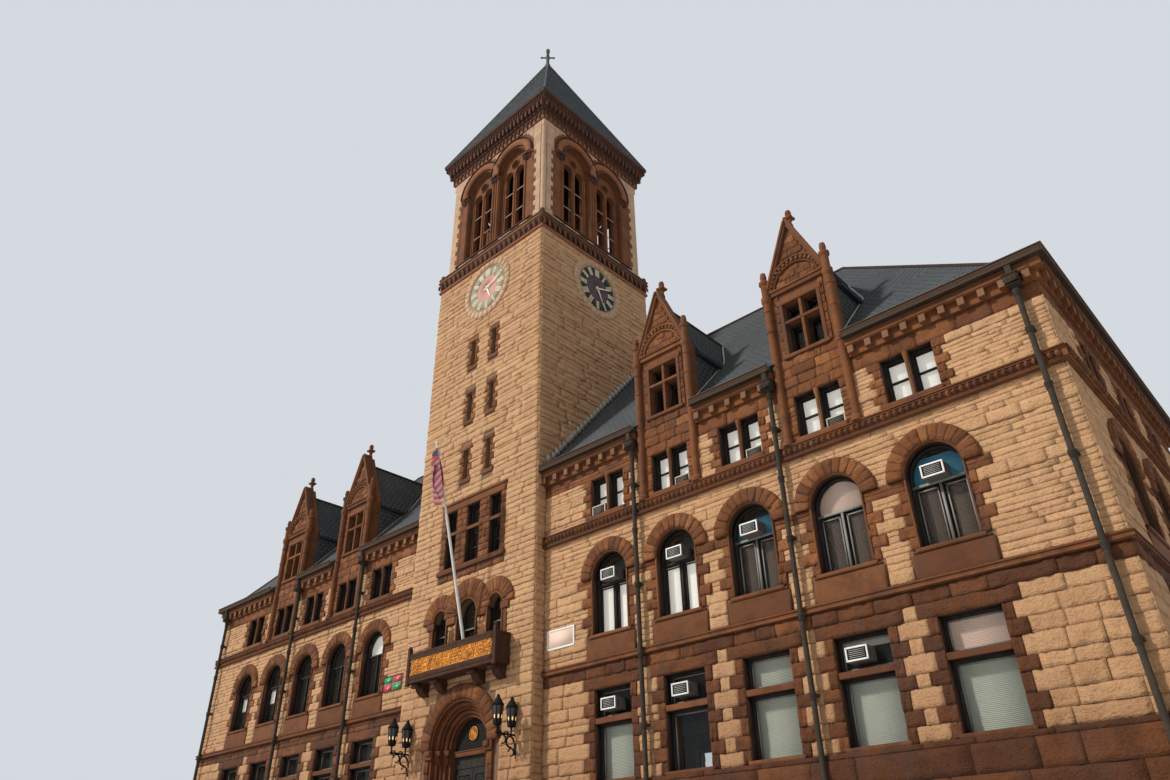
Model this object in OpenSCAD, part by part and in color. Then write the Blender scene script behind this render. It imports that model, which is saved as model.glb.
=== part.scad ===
// Town hall with a clock tower, as a 1:2 scale model in millimetres.
// The front faces -Y, X runs along the front, and z = 0 is the ground.

/* [Body] */
// Half the length of the front
body_half = 11270; // [10900:10:11800]
// Depth from the front wall to the back wall
body_depth = 6800; // [6400:10:7400]
// Thickness of the wing walls
wall_t = 350; // [250:10:450]
// Thickness of the floors
floor_t = 150; // [100:10:200]

/* [Levels] */
// Level of the entrance and the first floor
entry_level = 800; // [640:80:960]
// Top of the plinth and foot of the first-floor windows
plinth_top = 1685; // [1600:5:1750]
// Head of the first-floor windows
first_head = 3110; // [2950:10:3200]
// Top of the sill course of the second floor
second_level = 3600; // [3500:10:3650]
// Foot of the second-floor windows
second_sill = 4000; // [3800:10:4100]
// Springing of the second-floor arches
second_spring = 5000; // [4800:10:5100]
// Top of the upper string course
third_level = 6075; // [5950:5:6100]
// Head of the third-floor windows
third_head = 6900; // [6700:10:7000]
// Top of the wing walls
wall_top = 7425; // [7350:5:7600]

/* [Windows] */
// Distance between window bays
bay_pitch = 1455; // [1350:5:1500]
// Centre of the bay next to the tower
first_bay = 3530; // [3400:10:3600]
// Bays on each wing
bays = 5; // [4:1:5]
// Half the width of a wing window
window_half = 392; // [330:2:410]
// Width of an arch ring
arch_ring = 262; // [180:2:290]
// Height of the stone bar between a first-floor window and its top light
transom_z = 2575; // [2400:5:2650]
// Depth of the window frames behind the wall face
reveal = 130; // [90:5:180]
// Width of the window frame members
frame_w = 36; // [24:2:50]
// Thickness of the glass
glass_t = 12; // [6:1:20]

/* [Plinth] */
// Projection of the plinth from the walls
plinth_out = 60; // [30:5:80]
// Height of the sloping top of the plinth
plinth_slope = 60; // [40:5:90]

/* [Main roof] */
// Projection of the eaves from the walls
eaves_out = 140; // [110:5:180]
// Height of the roof edge above the wall top
eaves_rise = 110; // [90:5:140]
// Depth in from the wall face at which the slope steepens
kink_in = 200; // [120:10:300]
// Height of that kink above the wall top
kink_rise = 400; // [350:10:450]
// Height of the ridge
ridge_z = 11575; // [11000:25:12200]
// Distance from the end wall face to the end of the ridge
hip_run = 3870; // [3500:10:4300]
// Distance from the end wall face to the kink of an end slope
end_kink_in = 520; // [300:10:700]
// Vertical thickness of the roof
roof_t = 160; // [120:5:200]

/* [Dormers] */
// Half the width of a dormer
dormer_half = 560; // [500:10:600]
// Thickness of a dormer front
dormer_t = 280; // [220:10:340]
// Level of the dormer shoulders
shoulder_z = 8935; // [8850:5:9050]
// Apex of a dormer gable
dormer_apex = 10305; // [10150:5:10450]
// Foot of a dormer window
dormer_sill = 7660; // [7620:5:7750]
// Head of a dormer window
dormer_head = 8665; // [8500:5:8700]
// Half the width of a dormer window
dormer_window_half = 320; // [260:5:350]
// Radius of the corner shafts of a dormer
shaft_r = 66; // [50:2:80]
// Drop of a dormer roof below its gable
dormer_drop = 230; // [180:10:300]
// Thickness of the dormer roof and cheeks
dormer_roof_t = 80; // [60:5:110]

/* [Tower] */
// Half the width of the tower
tower_half = 1900; // [1850:10:1950]
// Projection of the tower from the front wall
tower_out = 245; // [200:5:300]
// Thickness of the tower walls
tower_t = 450; // [350:10:500]
// Top of the course under the belfry
belfry_level = 14335; // [14000:5:14600]
// Height of that course
belt_h = 390; // [300:5:450]
// Set-back of the belfry from the tower face
belfry_in = 75; // [40:5:110]
// Height of the belfry from its sill course to its cornice
belfry_h = 3430; // [3350:5:3600]
// Width of a corner pier of the belfry
pier_w = 375; // [320:5:400]
// Thickness of the belfry walls
belfry_t = 360; // [300:5:420]
// Distance from the middle of a side to the centre of a belfry arch
belfry_arch_x = 625; // [600:5:650]
// Outer radius of the hood of a belfry arch
hood_r = 820; // [790:5:824]
// Clear radius of a belfry arch
belfry_arch_r = 480; // [440:5:500]
// Springing of the belfry arches above the sill course
belfry_spring = 2565; // [2480:5:2580]
// Height of the tower cornice
cornice_h = 745; // [650:5:850]
// Half the width of the tower eaves
eaves_half = 2080; // [2040:5:2140]
// Height of the tower roof
spire_h = 4750; // [4400:50:5200]

/* [Clock] */
// Height of the clock centres
clock_z = 13050; // [12950:10:13090]
// Radius of a dial
dial_r = 625; // [560:5:680]
// Outer radius of the stone ring round a dial
clock_ring_r = 840; // [780:5:850]
// Radius of the arbor that carries the hands
arbor_r = 14; // [10:1:20]
// Length of a minute hand
minute_len = 520; // [450:5:550]
// Length of an hour hand
hour_len = 380; // [320:5:430]

/* [Entry] */
// Half the width of the doorway
door_half = 510; // [460:5:530]
// Outer radius of the entrance arch
entry_r = 1090; // [1060:5:1110]
// Springing of the entrance arch
entry_spring = 2575; // [2500:5:2600]
// Step from one order of the arch to the next
order_step = 125; // [100:5:130]
// Depth of each order
order_depth = 110; // [90:5:120]
// Head of the doors
door_head = 2245; // [2100:5:2350]
// Thickness of a door leaf
leaf_t = 30; // [24:1:40]
// Depth of a stair tread
tread = 160; // [140:5:190]
// Height of a stair riser
riser = 80; // [80:80:80]
// Half the width of the entrance stair
stair_half = 1100; // [1000:10:1200]
// Depth of the landing
landing = 700; // [600:10:800]

/* [Balcony] */
// Half the width of the balcony
balcony_half = 1300; // [1200:10:1400]
// Projection of the balcony from the tower
balcony_out = 380; // [300:10:450]
// Underside of the balcony
balcony_z = 3800; // [3780:5:3850]
// Height of the balcony from its underside to its rail
balcony_h = 560; // [480:5:600]
// Length of the flagpole
pole_len = 4520; // [4000:20:4800]
// Lean of the flagpole from upright
pole_lean = 14.8; // [10:0.1:18]

/* [Carved work] */
// Height of the crossbar in the dormer windows
dormer_bar_z = 8292; // [8150:2:8400]
// Width of the blocks under the main cornice
block_w = 100; // [60:5:140]
// Spacing of the blocks under the main cornice
block_pitch = 270; // [220:10:360]
// Width of the blocks under the tower cornice
modillion_w = 62; // [40:2:80]
// Spacing of the blocks under the tower cornice
modillion_pitch = 150; // [120:5:200]
// Spacing of the small arches under the tower cornice
arcade_pitch = 155; // [130:5:200]
// Width of the corbels under the belfry
corbel_w = 70; // [50:5:90]
// Spacing of the corbels under the belfry
corbel_pitch = 175; // [140:5:240]
// Radius of the entrance colonnettes
colonnette_r = 38; // [28:2:42]
// Radius of the belfry shafts
belfry_shaft_r = 36; // [28:2:44]
// Height of the balcony posts above the rail
post_rise = 90; // [40:5:140]

/* [Hidden] */

$fn = 48;
bay_x = [for (i = [0 : bays - 1]) first_bay + i * bay_pitch];
end_bay_y = [for (i = [-1 : 1]) body_depth / 2 + i * body_depth / 4];
back_bay_x = concat([for (i = [-3, -1, 1, 3]) i * first_bay / 5],
    [for (x = bay_x) x], [for (x = bay_x) -x]);
dormer_x = [bay_x[1], bay_x[3]];
tower_front = -tower_out;
tower_back = 2 * tower_half - tower_out;
tower_mid = (tower_front + tower_back) / 2;
third_sill = third_level + 85;
mullion = 60;
string_h = 105;
upper_string_h = 215;
string_out = 60;
ridge_y = body_depth / 2;
roof_slope = (ridge_z - wall_top - kink_rise) / (ridge_y - kink_in);
gutter_out = 225;
gutter_h = 125;
dormer_ridge = dormer_apex - dormer_drop;
dormer_eaves = shoulder_z - 135;
dormer_reach = kink_in + (dormer_ridge - wall_top - kink_rise) / roof_slope;
belfry_half = tower_half - belfry_in;
belfry_top = belfry_level + belfry_h;
spring_z = belfry_level + belfry_spring;
eaves_z = belfry_top + cornice_h;
apex_z = eaves_z + spire_h;
lancet_half = 140;
lancet_x = 205;
lancet_foot = belfry_level + 190;
group_sill = 6065;
group_head = 7350;
group_lights = [[-700, 175], [0, 215], [700, 175]];
slit_rows = [[8015, 8735], [9480, 10195], [10950, 11660]];
slit_x = 370;
slit_half = 70;
triple_spring = 5000;
triple = [[-830, 205, 540], [0, 280, 690], [830, 205, 540]];
fit_gap = 0.3;
cheek_w = 200;
cheek_h = 260;
spandrel_top = entry_spring + entry_r + 60;
frame_d = 50;
glass_y = reveal + frame_d;
shaft_y = -40;
shaft_h = 2700;
roof_notch = shaft_r + 30;
corbel_r = 230;
corbel_x = [550, 1120];
lantern_z = 2590;
cooler_half = 157;
cooler_h = 185;
pair_x = (window_half + mullion / 2) / 2;
tympanum_y = tower_front + 3 * order_depth;
order_r = [entry_r - 315, entry_r - 315 - order_step, entry_r - 315 - 2 * order_step];
entry_half = entry_r - 140;
transom_foot = door_head + 205;
pin_r = 6;
pin_x = door_half - 44;
leaf_y = tympanum_y + 10;
knuckle_r = 11;
pin_y = tympanum_y - knuckle_r - 5;
leaf_edge = pin_x - 4;
dial_out = 20;
arbor_len = 60;
clock_time = [70, 155];
stair_steps = entry_level / riser;
pole_x = 150;
pole_foot = [pole_x, tower_front - 50, balcony_z + 90];
pipe_x = [for (x = dormer_x) x - dormer_half - 190, body_half - 250];
pipe_r = 38;
hopper_half = 90;
pipe_y = -115;
pole_sections = [[0, 32], [1500, 28], [3000, 23]];
pole_tip_r = 23;
joint_gap = 0.6;
flag_drop = 1350;
flag_bunch = 700;
lantern_x = 1500;
lantern_arm = 460;
board_t = 25;
boards = [[2015, 2690, 3930], [-2965, -2310, 3960]];
board_top = 4280;
gold = [0.78, 0.58, 0.22];
buff = [0.80, 0.66, 0.48];
brown = [0.47, 0.27, 0.18];
slate = [0.22, 0.25, 0.29];
iron = [0.10, 0.10, 0.11];
grey = [0.42, 0.42, 0.40];

// Outer side of the leaning pole, a given drop below its tip
function pole_side(drop) = drop * tan(pole_lean)
    - (pole_tip_r + fit_gap) / cos(pole_lean);

// A block between two corners
module block(a, b) { translate(a) cube([b[0] - a[0], b[1] - a[1], b[2] - a[2]]); }

// An outline in X and Z, drawn out from y0 to y1
module along_y(y0, y1) { translate([0, y1, 0]) rotate([90, 0, 0]) linear_extrude(y1 - y0) children(); }

// An outline in Y and Z, drawn out from x0 to x1
module along_x(x0, x1) { translate([x0, 0, 0]) rotate([90, 0, 90]) linear_extrude(x1 - x0) children(); }

// The shape on both sides of the tower
module both() {
    children();
    mirror([1, 0, 0]) children();
}

// Blocks in a row along X, spread between two ends, with their depths and heights as pairs
module block_row(x0, x1, pitch, width, y, z) {
    count = max(1, floor((x1 - x0 - width) / pitch));
    step = (x1 - x0 - width) / count;
    for (i = [0 : count]) block([x0 + i * step, y[0], z[0]], [x0 + i * step + width, y[1], z[1]]);
}

// A turned shaft with a base and a bell capital, standing on the origin
module shaft(r, h) {
    rotate_extrude() polygon([[0, 0], [r + 12, 0], [r + 12, 50], [r, 70], [r, h - 190], [r + 8, h - 180],
        [r, h - 165], [r + 20, h - 60], [r + 20, h], [0, h]]);
}

// The shape on all four sides of the tower
module round_tower() {
    for (a = [0, 90, 180, 270])
        translate([0, tower_mid, 0]) rotate([0, 0, a]) translate([0, -tower_mid, 0]) children();
}

// Outline of a light with a flat head
module flat_light(x, half, z0, z1) { translate([x - half, z0]) square([2 * half, z1 - z0]); }

// Outline of a light with a round head
module round_light(x, half, z0, spring) {
    flat_light(x, half, z0, spring);
    translate([x, spring]) circle(half);
}

// Outlines of all openings of one bay of a wing wall
module bay_openings(x) {
    flat_light(x, window_half, plinth_top + 15, transom_z);
    flat_light(x, window_half, transom_z + 85, first_head);
    round_light(x, window_half, second_sill, second_spring);
    pair_openings(x);
}

// Outlines of a pair of third-floor lights with a post between them
module pair_openings(x) {
    for (s = [-1, 1])
        flat_light(x + s * pair_x, (window_half - mullion / 2) / 2,
            third_sill, third_head);
}

// Outline of the upper half of a ring
module half_ring(x, z, outer, inner) {
    translate([x, z]) difference() {
        circle(outer);
        circle(inner);
        translate([-outer - 1, -outer - 1]) square([2 * outer + 2, outer + 1]);
    }
}

// A hollow rectangle round the wings, set out by a given distance
module wing_ring(z0, z1, out_a, out_b) {
    difference() {
        block([-body_half - out_b, -out_b, z0], [body_half + out_b, body_depth + out_b, z1]);
        block([-body_half - out_a, -out_a, z0 - 1], [body_half + out_a, body_depth + out_a, z1 + 1]);
        block([-tower_half, -body_half, z0 - 2], [tower_half, body_depth / 2, z1 + 2]);
    }
}

// Joints between the straight runs of a course at the corners of the body
module corner_joints(inner, z0, z1) {
    both() for (y = [-inner, body_depth + inner - joint_gap])
        block([body_half + inner - 1, y, z0 - 1], [body_half + gutter_out + 1, y + joint_gap, z1 + 1]);
}

// The space that each dormer front takes out of the cornice
module dormer_gaps() {
    both() for (x = dormer_x)
        block([x - dormer_half - roof_notch, -gutter_out - 50, third_level],
            [x + dormer_half + roof_notch, 0, shoulder_z]);
}

// Outline of the plinth in plan
module plinth_plan(out) {
    translate([-body_half - out, -out]) square([2 * (body_half + out), body_depth + 2 * out]);
    translate([-tower_half - out, tower_front - out]) square([2 * (tower_half + out), 2 * tower_out + out]);
}

module plinth() color(brown) difference() {
    union() {
        linear_extrude(plinth_top - plinth_slope) plinth_plan(plinth_out);
        linear_extrude(plinth_top) plinth_plan(0);
    }
    block([-body_half + wall_t, wall_t, -1], [body_half - wall_t, body_depth - wall_t, plinth_top + 1]);
    block([-tower_half + tower_t, tower_front + tower_t, -1], [tower_half - tower_t, wall_t + 1, plinth_top + 1]);
    block([-entry_half, tower_front - plinth_out - 1, entry_level],
        [entry_half, tower_front + tower_t + 1, plinth_top + 1]);
    corner_joints(-wall_t, 0, plinth_top);
    both() block([tower_half + plinth_out, -plinth_out - 1, -1],
        [tower_half + plinth_out + joint_gap, wall_t + 1, plinth_top + 1]);
}

module entry_steps() color(buff) {
    wall_y = tower_front - plinth_out;
    edge_y = wall_y - landing;
    for (i = [0 : stair_steps - 1])
        block([-stair_half, edge_y - i * tread, 0], [stair_half, wall_y, entry_level - i * riser]);
    both() {
        block([stair_half, edge_y, 0], [stair_half + cheek_w, wall_y, entry_level + cheek_h]);
        block([stair_half, edge_y - (stair_steps - 1) * tread, 0],
            [stair_half + cheek_w, edge_y, entry_level / 2 + 60]);
    }
}

// Floors inside the wings and inside the tower
module floors() color(grey) {
    for (z = [entry_level, second_level, third_level, wall_top]) {
        difference() {
            block([-body_half + wall_t, wall_t, z - floor_t], [body_half - wall_t, body_depth - wall_t, z]);
            block([-tower_half, 0, z - floor_t - 1], [tower_half, tower_back, z + 1]);
        }
        block([-tower_half + tower_t, tower_front + tower_t, z - floor_t],
            [tower_half - tower_t, tower_back - tower_t, z]);
    }
    block([-tower_half + tower_t, tower_front + tower_t, belfry_level - floor_t],
        [tower_half - tower_t, tower_back - tower_t, belfry_level]);
}

module wing_front_wall() color(buff) difference() {
    block([tower_half, 0, plinth_top], [body_half, wall_t, wall_top]);
    along_y(-1, wall_t + 1) for (x = bay_x) bay_openings(x);
}
module right_front_wall() wing_front_wall();
module left_front_wall() mirror([1, 0, 0]) wing_front_wall();

module end_wall() color(buff) difference() {
    block([body_half - wall_t, wall_t, plinth_top], [body_half, body_depth - wall_t, wall_top]);
    along_x(body_half - wall_t - 1, body_half + 1) for (y = end_bay_y) bay_openings(y);
}
module right_end_wall() end_wall();
module left_end_wall() mirror([1, 0, 0]) end_wall();

module back_wall() color(buff) difference() {
    block([-body_half, body_depth - wall_t, plinth_top], [body_half, body_depth, wall_top]);
    along_y(body_depth - wall_t - 1, body_depth + 1) for (x = back_bay_x) bay_openings(x);
}

// Tower wall beside the doorway
module entry_piers() color(buff) both()
    block([entry_half, tower_front, plinth_top], [tower_half, tower_front + tower_t, entry_spring]);

// Tower wall round the head of the doorway
module entry_spandrel() color(buff) along_y(tower_front, tower_front + tower_t) difference() {
    flat_light(0, tower_half, entry_spring, spandrel_top);
    translate([0, entry_spring]) circle(entry_r);
}

module tower_front_wall() color(buff) difference() {
    block([-tower_half, tower_front, spandrel_top], [tower_half, tower_front + tower_t, belfry_level]);
    along_y(tower_front - 1, tower_front + tower_t + 1) {
        for (w = triple) round_light(w[0], w[1], second_sill, triple_spring);
        for (w = group_lights) flat_light(w[0], w[1], group_sill, group_head);
        for (r = slit_rows, s = [-1, 1]) flat_light(s * slit_x, slit_half, r[0], r[1]);
    }
}

module tower_side_walls() color(buff) both()
    difference() {
        block([tower_half - tower_t, tower_front + tower_t, 0], [tower_half, tower_back - tower_t, belfry_level]);
        block([tower_half - tower_t - 1, tower_front, -1], [tower_half + 1, wall_t, plinth_top]);
    }

// The tower's back wall has a plain opening into the first floor
module tower_back_wall() color(buff) difference() {
    block([-tower_half, tower_back - tower_t, 0], [tower_half, tower_back, belfry_level]);
    along_y(tower_back - tower_t - 1, tower_back + 1) flat_light(0, 700, entry_level, 2900);
}

// Corner piers, each with a round shaft in its outer corner
module belfry_piers() color(buff) round_tower() {
    difference() {
        translate([belfry_half - pier_w, tower_mid - belfry_half, belfry_level])
            cube([pier_w, pier_w, belfry_h]);
        translate([belfry_half - 120, tower_mid - belfry_half - 1, belfry_level + 200])
            cube([121, 121, belfry_h - 400]);
    }
    translate([belfry_half - 74, tower_mid - belfry_half + 74, belfry_level + 200])
        cylinder(h = belfry_h - 400, r = 70);
}

// One side of the belfry between its corner piers
module belfry_side() {
    face = tower_mid - belfry_half;
    half = belfry_half - pier_w;
    difference() {
        union() {
            block([-half, face, belfry_level], [half, face + belfry_t, belfry_top]);
            along_y(face - 30, face) difference() {
                for (s = [-1, 1]) half_ring(s * belfry_arch_x, spring_z, hood_r, hood_r - 110);
                for (s = [-1, 1]) translate([s * belfry_arch_x, spring_z]) circle(hood_r - 110);
            }
            for (s = [-1, 1], t = [-1, 1])
                translate([s * (belfry_arch_x + t * (belfry_arch_r + belfry_shaft_r + 14)), face, belfry_level])
                    shaft(belfry_shaft_r, spring_z - belfry_level);
            translate([0, face, belfry_level]) shaft(belfry_shaft_r - 8, spring_z - belfry_level);
            both() block([belfry_arch_x + hood_r - 110, face - 40, spring_z - 90],
                [belfry_arch_x + hood_r, face + 1, spring_z]);
        }
        along_y(face - 80, face + belfry_t + 1) for (s = [-1, 1])
            round_light(s * belfry_arch_x, belfry_arch_r, lancet_foot, spring_z);
    }
}
module belfry_walls() color(brown) round_tower() belfry_side();

// Two lancets under a round eye in each belfry arch
module tracery_unit(x) {
    face = tower_mid - belfry_half + 120;
    radius = belfry_arch_r - fit_gap;
    along_y(face, face + 110) difference() {
        round_light(x, radius, lancet_foot + fit_gap, spring_z);
        for (s = [-1, 1]) round_light(x + s * lancet_x, lancet_half, lancet_foot + 60, spring_z - 240);
        translate([x, spring_z + 100]) circle(120);
    }
    translate([x, face, lancet_foot + 60]) shaft(belfry_shaft_r - 4, spring_z - lancet_foot - 300);
}
module belfry_tracery() color(brown) round_tower() for (s = [-1, 1]) tracery_unit(s * belfry_arch_x);

// A square moulding round the tower, with its profile given as half width and height
module square_moulding(points, inner) {
    profile = concat([for (p = points) p], [for (i = [len(points) - 1 : -1 : 0]) [-points[i][0], points[i][1]]]);
    z0 = points[0][1];
    z1 = points[len(points) - 1][1];
    span = 4 * tower_half;
    translate([0, tower_mid, 0]) difference() {
        intersection() {
            along_y(-span, span) polygon(profile);
            along_x(-span, span) polygon(profile);
        }
        block([-inner, -inner, z0 - 1], [inner, inner, z1 + 1]);
    }
}

// Course under the belfry, with its corbels and a knob on each corner
module belfry_sill_course() color(brown) {
    foot = belfry_level - belt_h;
    out = tower_half + 60;
    square_moulding([[tower_half + 20, foot], [tower_half + 20, foot + 90], [out, belfry_level - 150],
        [out, belfry_level]], tower_half);
    knob_at = (belfry_half + out) / 2;
    knob_r = (out - belfry_half) / 2 - 2;
    round_tower() {
        block_row(-tower_half, tower_half, corbel_pitch, corbel_w,
            [tower_front - 58, tower_front - 5], [foot + 15, belfry_level - 155]);
        translate([knob_at, tower_mid - knob_at, belfry_level]) rotate_extrude()
            polygon([[0, 0], [knob_r, 0], [knob_r, 60], [knob_r - 10, 100], [knob_r - 36, 140], [0, 150]]);
    }
}

// Small round arches on brackets, under the tower cornice
module arcade() {
    half = belfry_half + 30;
    count = floor(2 * half / arcade_pitch);
    step = 2 * half / count;
    face = tower_mid - half;
    along_y(face - 40, face + 10) difference() {
        flat_light(0, half, belfry_top + 40, belfry_top + 235);
        for (i = [0 : count - 1]) round_light((i + 0.5) * step - half, step / 2 - 20, belfry_top + 39, belfry_top + 130);
    }
}

// Cornice of the tower, with its arcade and a row of blocks
module tower_cornice() color(brown) {
    half = belfry_half + 90;
    square_moulding([
        [belfry_half + 30, belfry_top], [belfry_half + 30, belfry_top + 260], [half, belfry_top + 290],
        [half, belfry_top + 450], [eaves_half - 60, belfry_top + 520],
        [eaves_half - 60, eaves_z - 100], [eaves_half, eaves_z - 70], [eaves_half, eaves_z]],
        belfry_half - belfry_t);
    round_tower() {
        arcade();
        block_row(-half, half, modillion_pitch, modillion_w,
            [tower_mid - eaves_half + 70, tower_mid - half + 20], [belfry_top + 315, belfry_top + 500]);
    }
}

module tower_roof() color(slate) translate([0, tower_mid, 0]) difference() {
    intersection() {
        along_y(-eaves_half, eaves_half) polygon([[-eaves_half, eaves_z], [eaves_half, eaves_z], [0, apex_z]]);
        along_x(-eaves_half, eaves_half) polygon([[-eaves_half, eaves_z], [eaves_half, eaves_z], [0, apex_z]]);
    }
    intersection() {
        along_y(-eaves_half, eaves_half)
            polygon([[120 - eaves_half, eaves_z - 1], [eaves_half - 120, eaves_z - 1], [0, apex_z - 280]]);
        along_x(-eaves_half, eaves_half)
            polygon([[120 - eaves_half, eaves_z - 1], [eaves_half - 120, eaves_z - 1], [0, apex_z - 280]]);
    }
    block([-90, -90, apex_z - 200], [90, 90, apex_z + 1]);
}

// Stone finial with four short arms
module finial() color(brown) translate([0, tower_mid, apex_z - 200]) {
    rotate_extrude() polygon([[0, 0], [89, 0], [89, 120], [55, 190], [50, 400], [64, 450], [64, 540],
        [48, 600], [48, 720], [66, 800], [62, 880], [0, 920]]);
    crossed_arms(500, 200, 24);
}

// Four short arms with round ends, set across the corners
module crossed_arms(z, reach, r) {
    for (a = [45, 135]) rotate([0, 0, a]) translate([0, 0, z]) {
        rotate([0, 90, 0]) translate([0, 0, -reach]) cylinder(h = 2 * reach, r = r);
        for (s = [-1, 1]) translate([s * reach, 0, 0]) sphere(r * 1.4);
    }
}

// Outer surface of the hipped roof, lowered by a given drop
module roof_body(drop) {
    low = wall_top - 400;
    y0 = -eaves_out;
    y1 = body_depth + eaves_out;
    side = [[y0, low], [y0, wall_top + eaves_rise - drop], [kink_in, wall_top + kink_rise - drop],
        [ridge_y, ridge_z - drop], [body_depth - kink_in, wall_top + kink_rise - drop],
        [y1, wall_top + eaves_rise - drop], [y1, low]];
    ends = [[-body_half - eaves_out, low], [-body_half - eaves_out, wall_top + eaves_rise - drop],
        [-body_half + end_kink_in, wall_top + kink_rise - drop], [-body_half + hip_run, ridge_z - drop],
        [body_half - hip_run, ridge_z - drop], [body_half - end_kink_in, wall_top + kink_rise - drop],
        [body_half + eaves_out, wall_top + eaves_rise - drop], [body_half + eaves_out, low]];
    intersection() {
        along_x(-body_half - 999, body_half + 999) polygon(side);
        along_y(-999, body_depth + 999) polygon(ends);
    }
}

// One slope of the roof, cut out of the whole by its outline in plan
module roof_slope_piece(plan) {
    difference() {
        intersection() {
            roof_body(0);
            translate([0, 0, wall_top]) linear_extrude(ridge_z) polygon(plan);
        }
        roof_body(roof_t);
    }
}

// The openings through the roof behind each dormer front
module dormer_wells() {
    both() for (x = dormer_x) {
        block([x - dormer_half - roof_notch, -eaves_out - 1, wall_top - 1],
            [x + dormer_half + roof_notch, shaft_y + shaft_r + 9, ridge_z]);
        block([x - dormer_half, 0, wall_top - 1], [x + dormer_half, dormer_t, ridge_z]);
        block([x - dormer_half + dormer_roof_t, dormer_t - 1, wall_top - 1],
            [x + dormer_half - dormer_roof_t, dormer_reach - 500, ridge_z]);
    }
}

module front_roof_slopes() color(slate) difference() {
    both() roof_slope_piece([[tower_half, -eaves_out], [body_half + eaves_out, -eaves_out],
        [body_half - end_kink_in, kink_in], [body_half - hip_run, ridge_y], [tower_half, ridge_y]]);
    dormer_wells();
}

module back_roof_slope() color(slate) difference() {
    roof_slope_piece([[-body_half - eaves_out, body_depth + eaves_out], [-body_half + end_kink_in, body_depth - kink_in],
        [-body_half + hip_run, ridge_y], [body_half - hip_run, ridge_y],
        [body_half - end_kink_in, body_depth - kink_in], [body_half + eaves_out, body_depth + eaves_out]]);
    block([-tower_half, tower_front, wall_top - 1], [tower_half, tower_back, ridge_z + 1]);
}

module end_roof_slopes() color(slate) both()
    roof_slope_piece([[body_half + eaves_out, -eaves_out], [body_half - end_kink_in, kink_in],
        [body_half - hip_run, ridge_y], [body_half - end_kink_in, body_depth - kink_in],
        [body_half + eaves_out, body_depth + eaves_out]]);

// Outline of a dormer's gable
module gable(half, foot, shoulder, apex) {
    polygon([[-half, foot], [half, foot], [half, shoulder], [0, apex], [-half, shoulder]]);
}

module dormer_front() {
    difference() {
        union() {
            along_y(0, dormer_t) gable(dormer_half, wall_top, shoulder_z, dormer_apex);
            along_y(-20, 0) half_ring(0, shoulder_z + 50, dormer_half - 20, dormer_half - 120);
            along_y(-30, 0) flat_light(0, dormer_half - shaft_r, shoulder_z - 40, shoulder_z + 50);
        }
        along_y(-1, dormer_t + 1) for (s = [-1, 1]) {
            half = (dormer_window_half - mullion / 2) / 2;
            flat_light(s * (half + mullion / 2), half, dormer_sill, dormer_bar_z - mullion / 2);
            flat_light(s * (half + mullion / 2), half, dormer_bar_z + mullion / 2, dormer_head);
        }
    }
    for (s = [-1, 1]) translate([s * (dormer_half + 20), shaft_y, 0]) dormer_shaft();
    translate([0, dormer_t / 2, dormer_apex - 120]) {
        rotate_extrude() polygon([[0, 0], [60, 0], [60, 140], [42, 200], [42, 270], [78, 300], [78, 345],
            [44, 370], [58, 430], [46, 490], [0, 520]]);
        crossed_arms(322, 84, 22);
    }
}

// Corner shaft with its ring and pointed cap, engaged in the wall up to the wall top
module dormer_shaft() difference() {
    translate([0, 0, third_level]) rotate_extrude() polygon([[0, 0], [shaft_r + 24, 0], [shaft_r + 24, 60],
        [shaft_r, 100], [shaft_r, shaft_h], [shaft_r + 26, shaft_h + 60], [shaft_r + 26, shaft_h + 140],
        [shaft_r, shaft_h + 170], [shaft_r, shaft_h + 400], [shaft_r + 26, shaft_h + 440],
        [shaft_r + 26, shaft_h + 490], [shaft_r - 22, shaft_h + 520], [shaft_r - 8, shaft_h + 600],
        [shaft_r - 20, shaft_h + 680], [0, shaft_h + 720]]);
    block([-2 * shaft_r, -shaft_y, third_level - 1], [2 * shaft_r, 2 * shaft_r, wall_top]);
}
module dormer_fronts() color(brown) both() for (x = dormer_x) translate([x, 0, 0]) dormer_front();

// Cheeks and pitched roof of a dormer, down to the slope of the main roof
module dormer_roof() {
    difference() {
        along_y(dormer_t, dormer_reach) difference() {
            union() {
                gable(dormer_half, wall_top, dormer_eaves, dormer_ridge);
                polygon([[-dormer_half - 90, dormer_eaves - 60], [dormer_half + 90, dormer_eaves - 60],
                    [dormer_half + 90, dormer_eaves], [0, dormer_ridge], [-dormer_half - 90, dormer_eaves]]);
            }
            gable(dormer_half - dormer_roof_t, wall_top - 1, dormer_eaves - 60, dormer_ridge - 200);
        }
        along_x(-2 * dormer_half, 2 * dormer_half) polygon([[-eaves_out, wall_top - 10], [-eaves_out, wall_top + eaves_rise],
            [kink_in, wall_top + kink_rise], [ridge_y, ridge_z], [ridge_y, wall_top - 10]]);
    }
}
module dormer_roofs() color(slate) both() for (x = dormer_x) translate([x, 0, 0]) dormer_roof();

module sill_string_course() color(brown) difference() {
    wing_ring(second_level - string_h, second_level, 0, string_out);
    corner_joints(0, second_level - string_h, second_level);
}

module upper_string_course() color(brown) difference() {
    wing_ring(third_level - upper_string_h, third_level, 0, string_out);
    corner_joints(0, third_level - upper_string_h, third_level);
}

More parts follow.
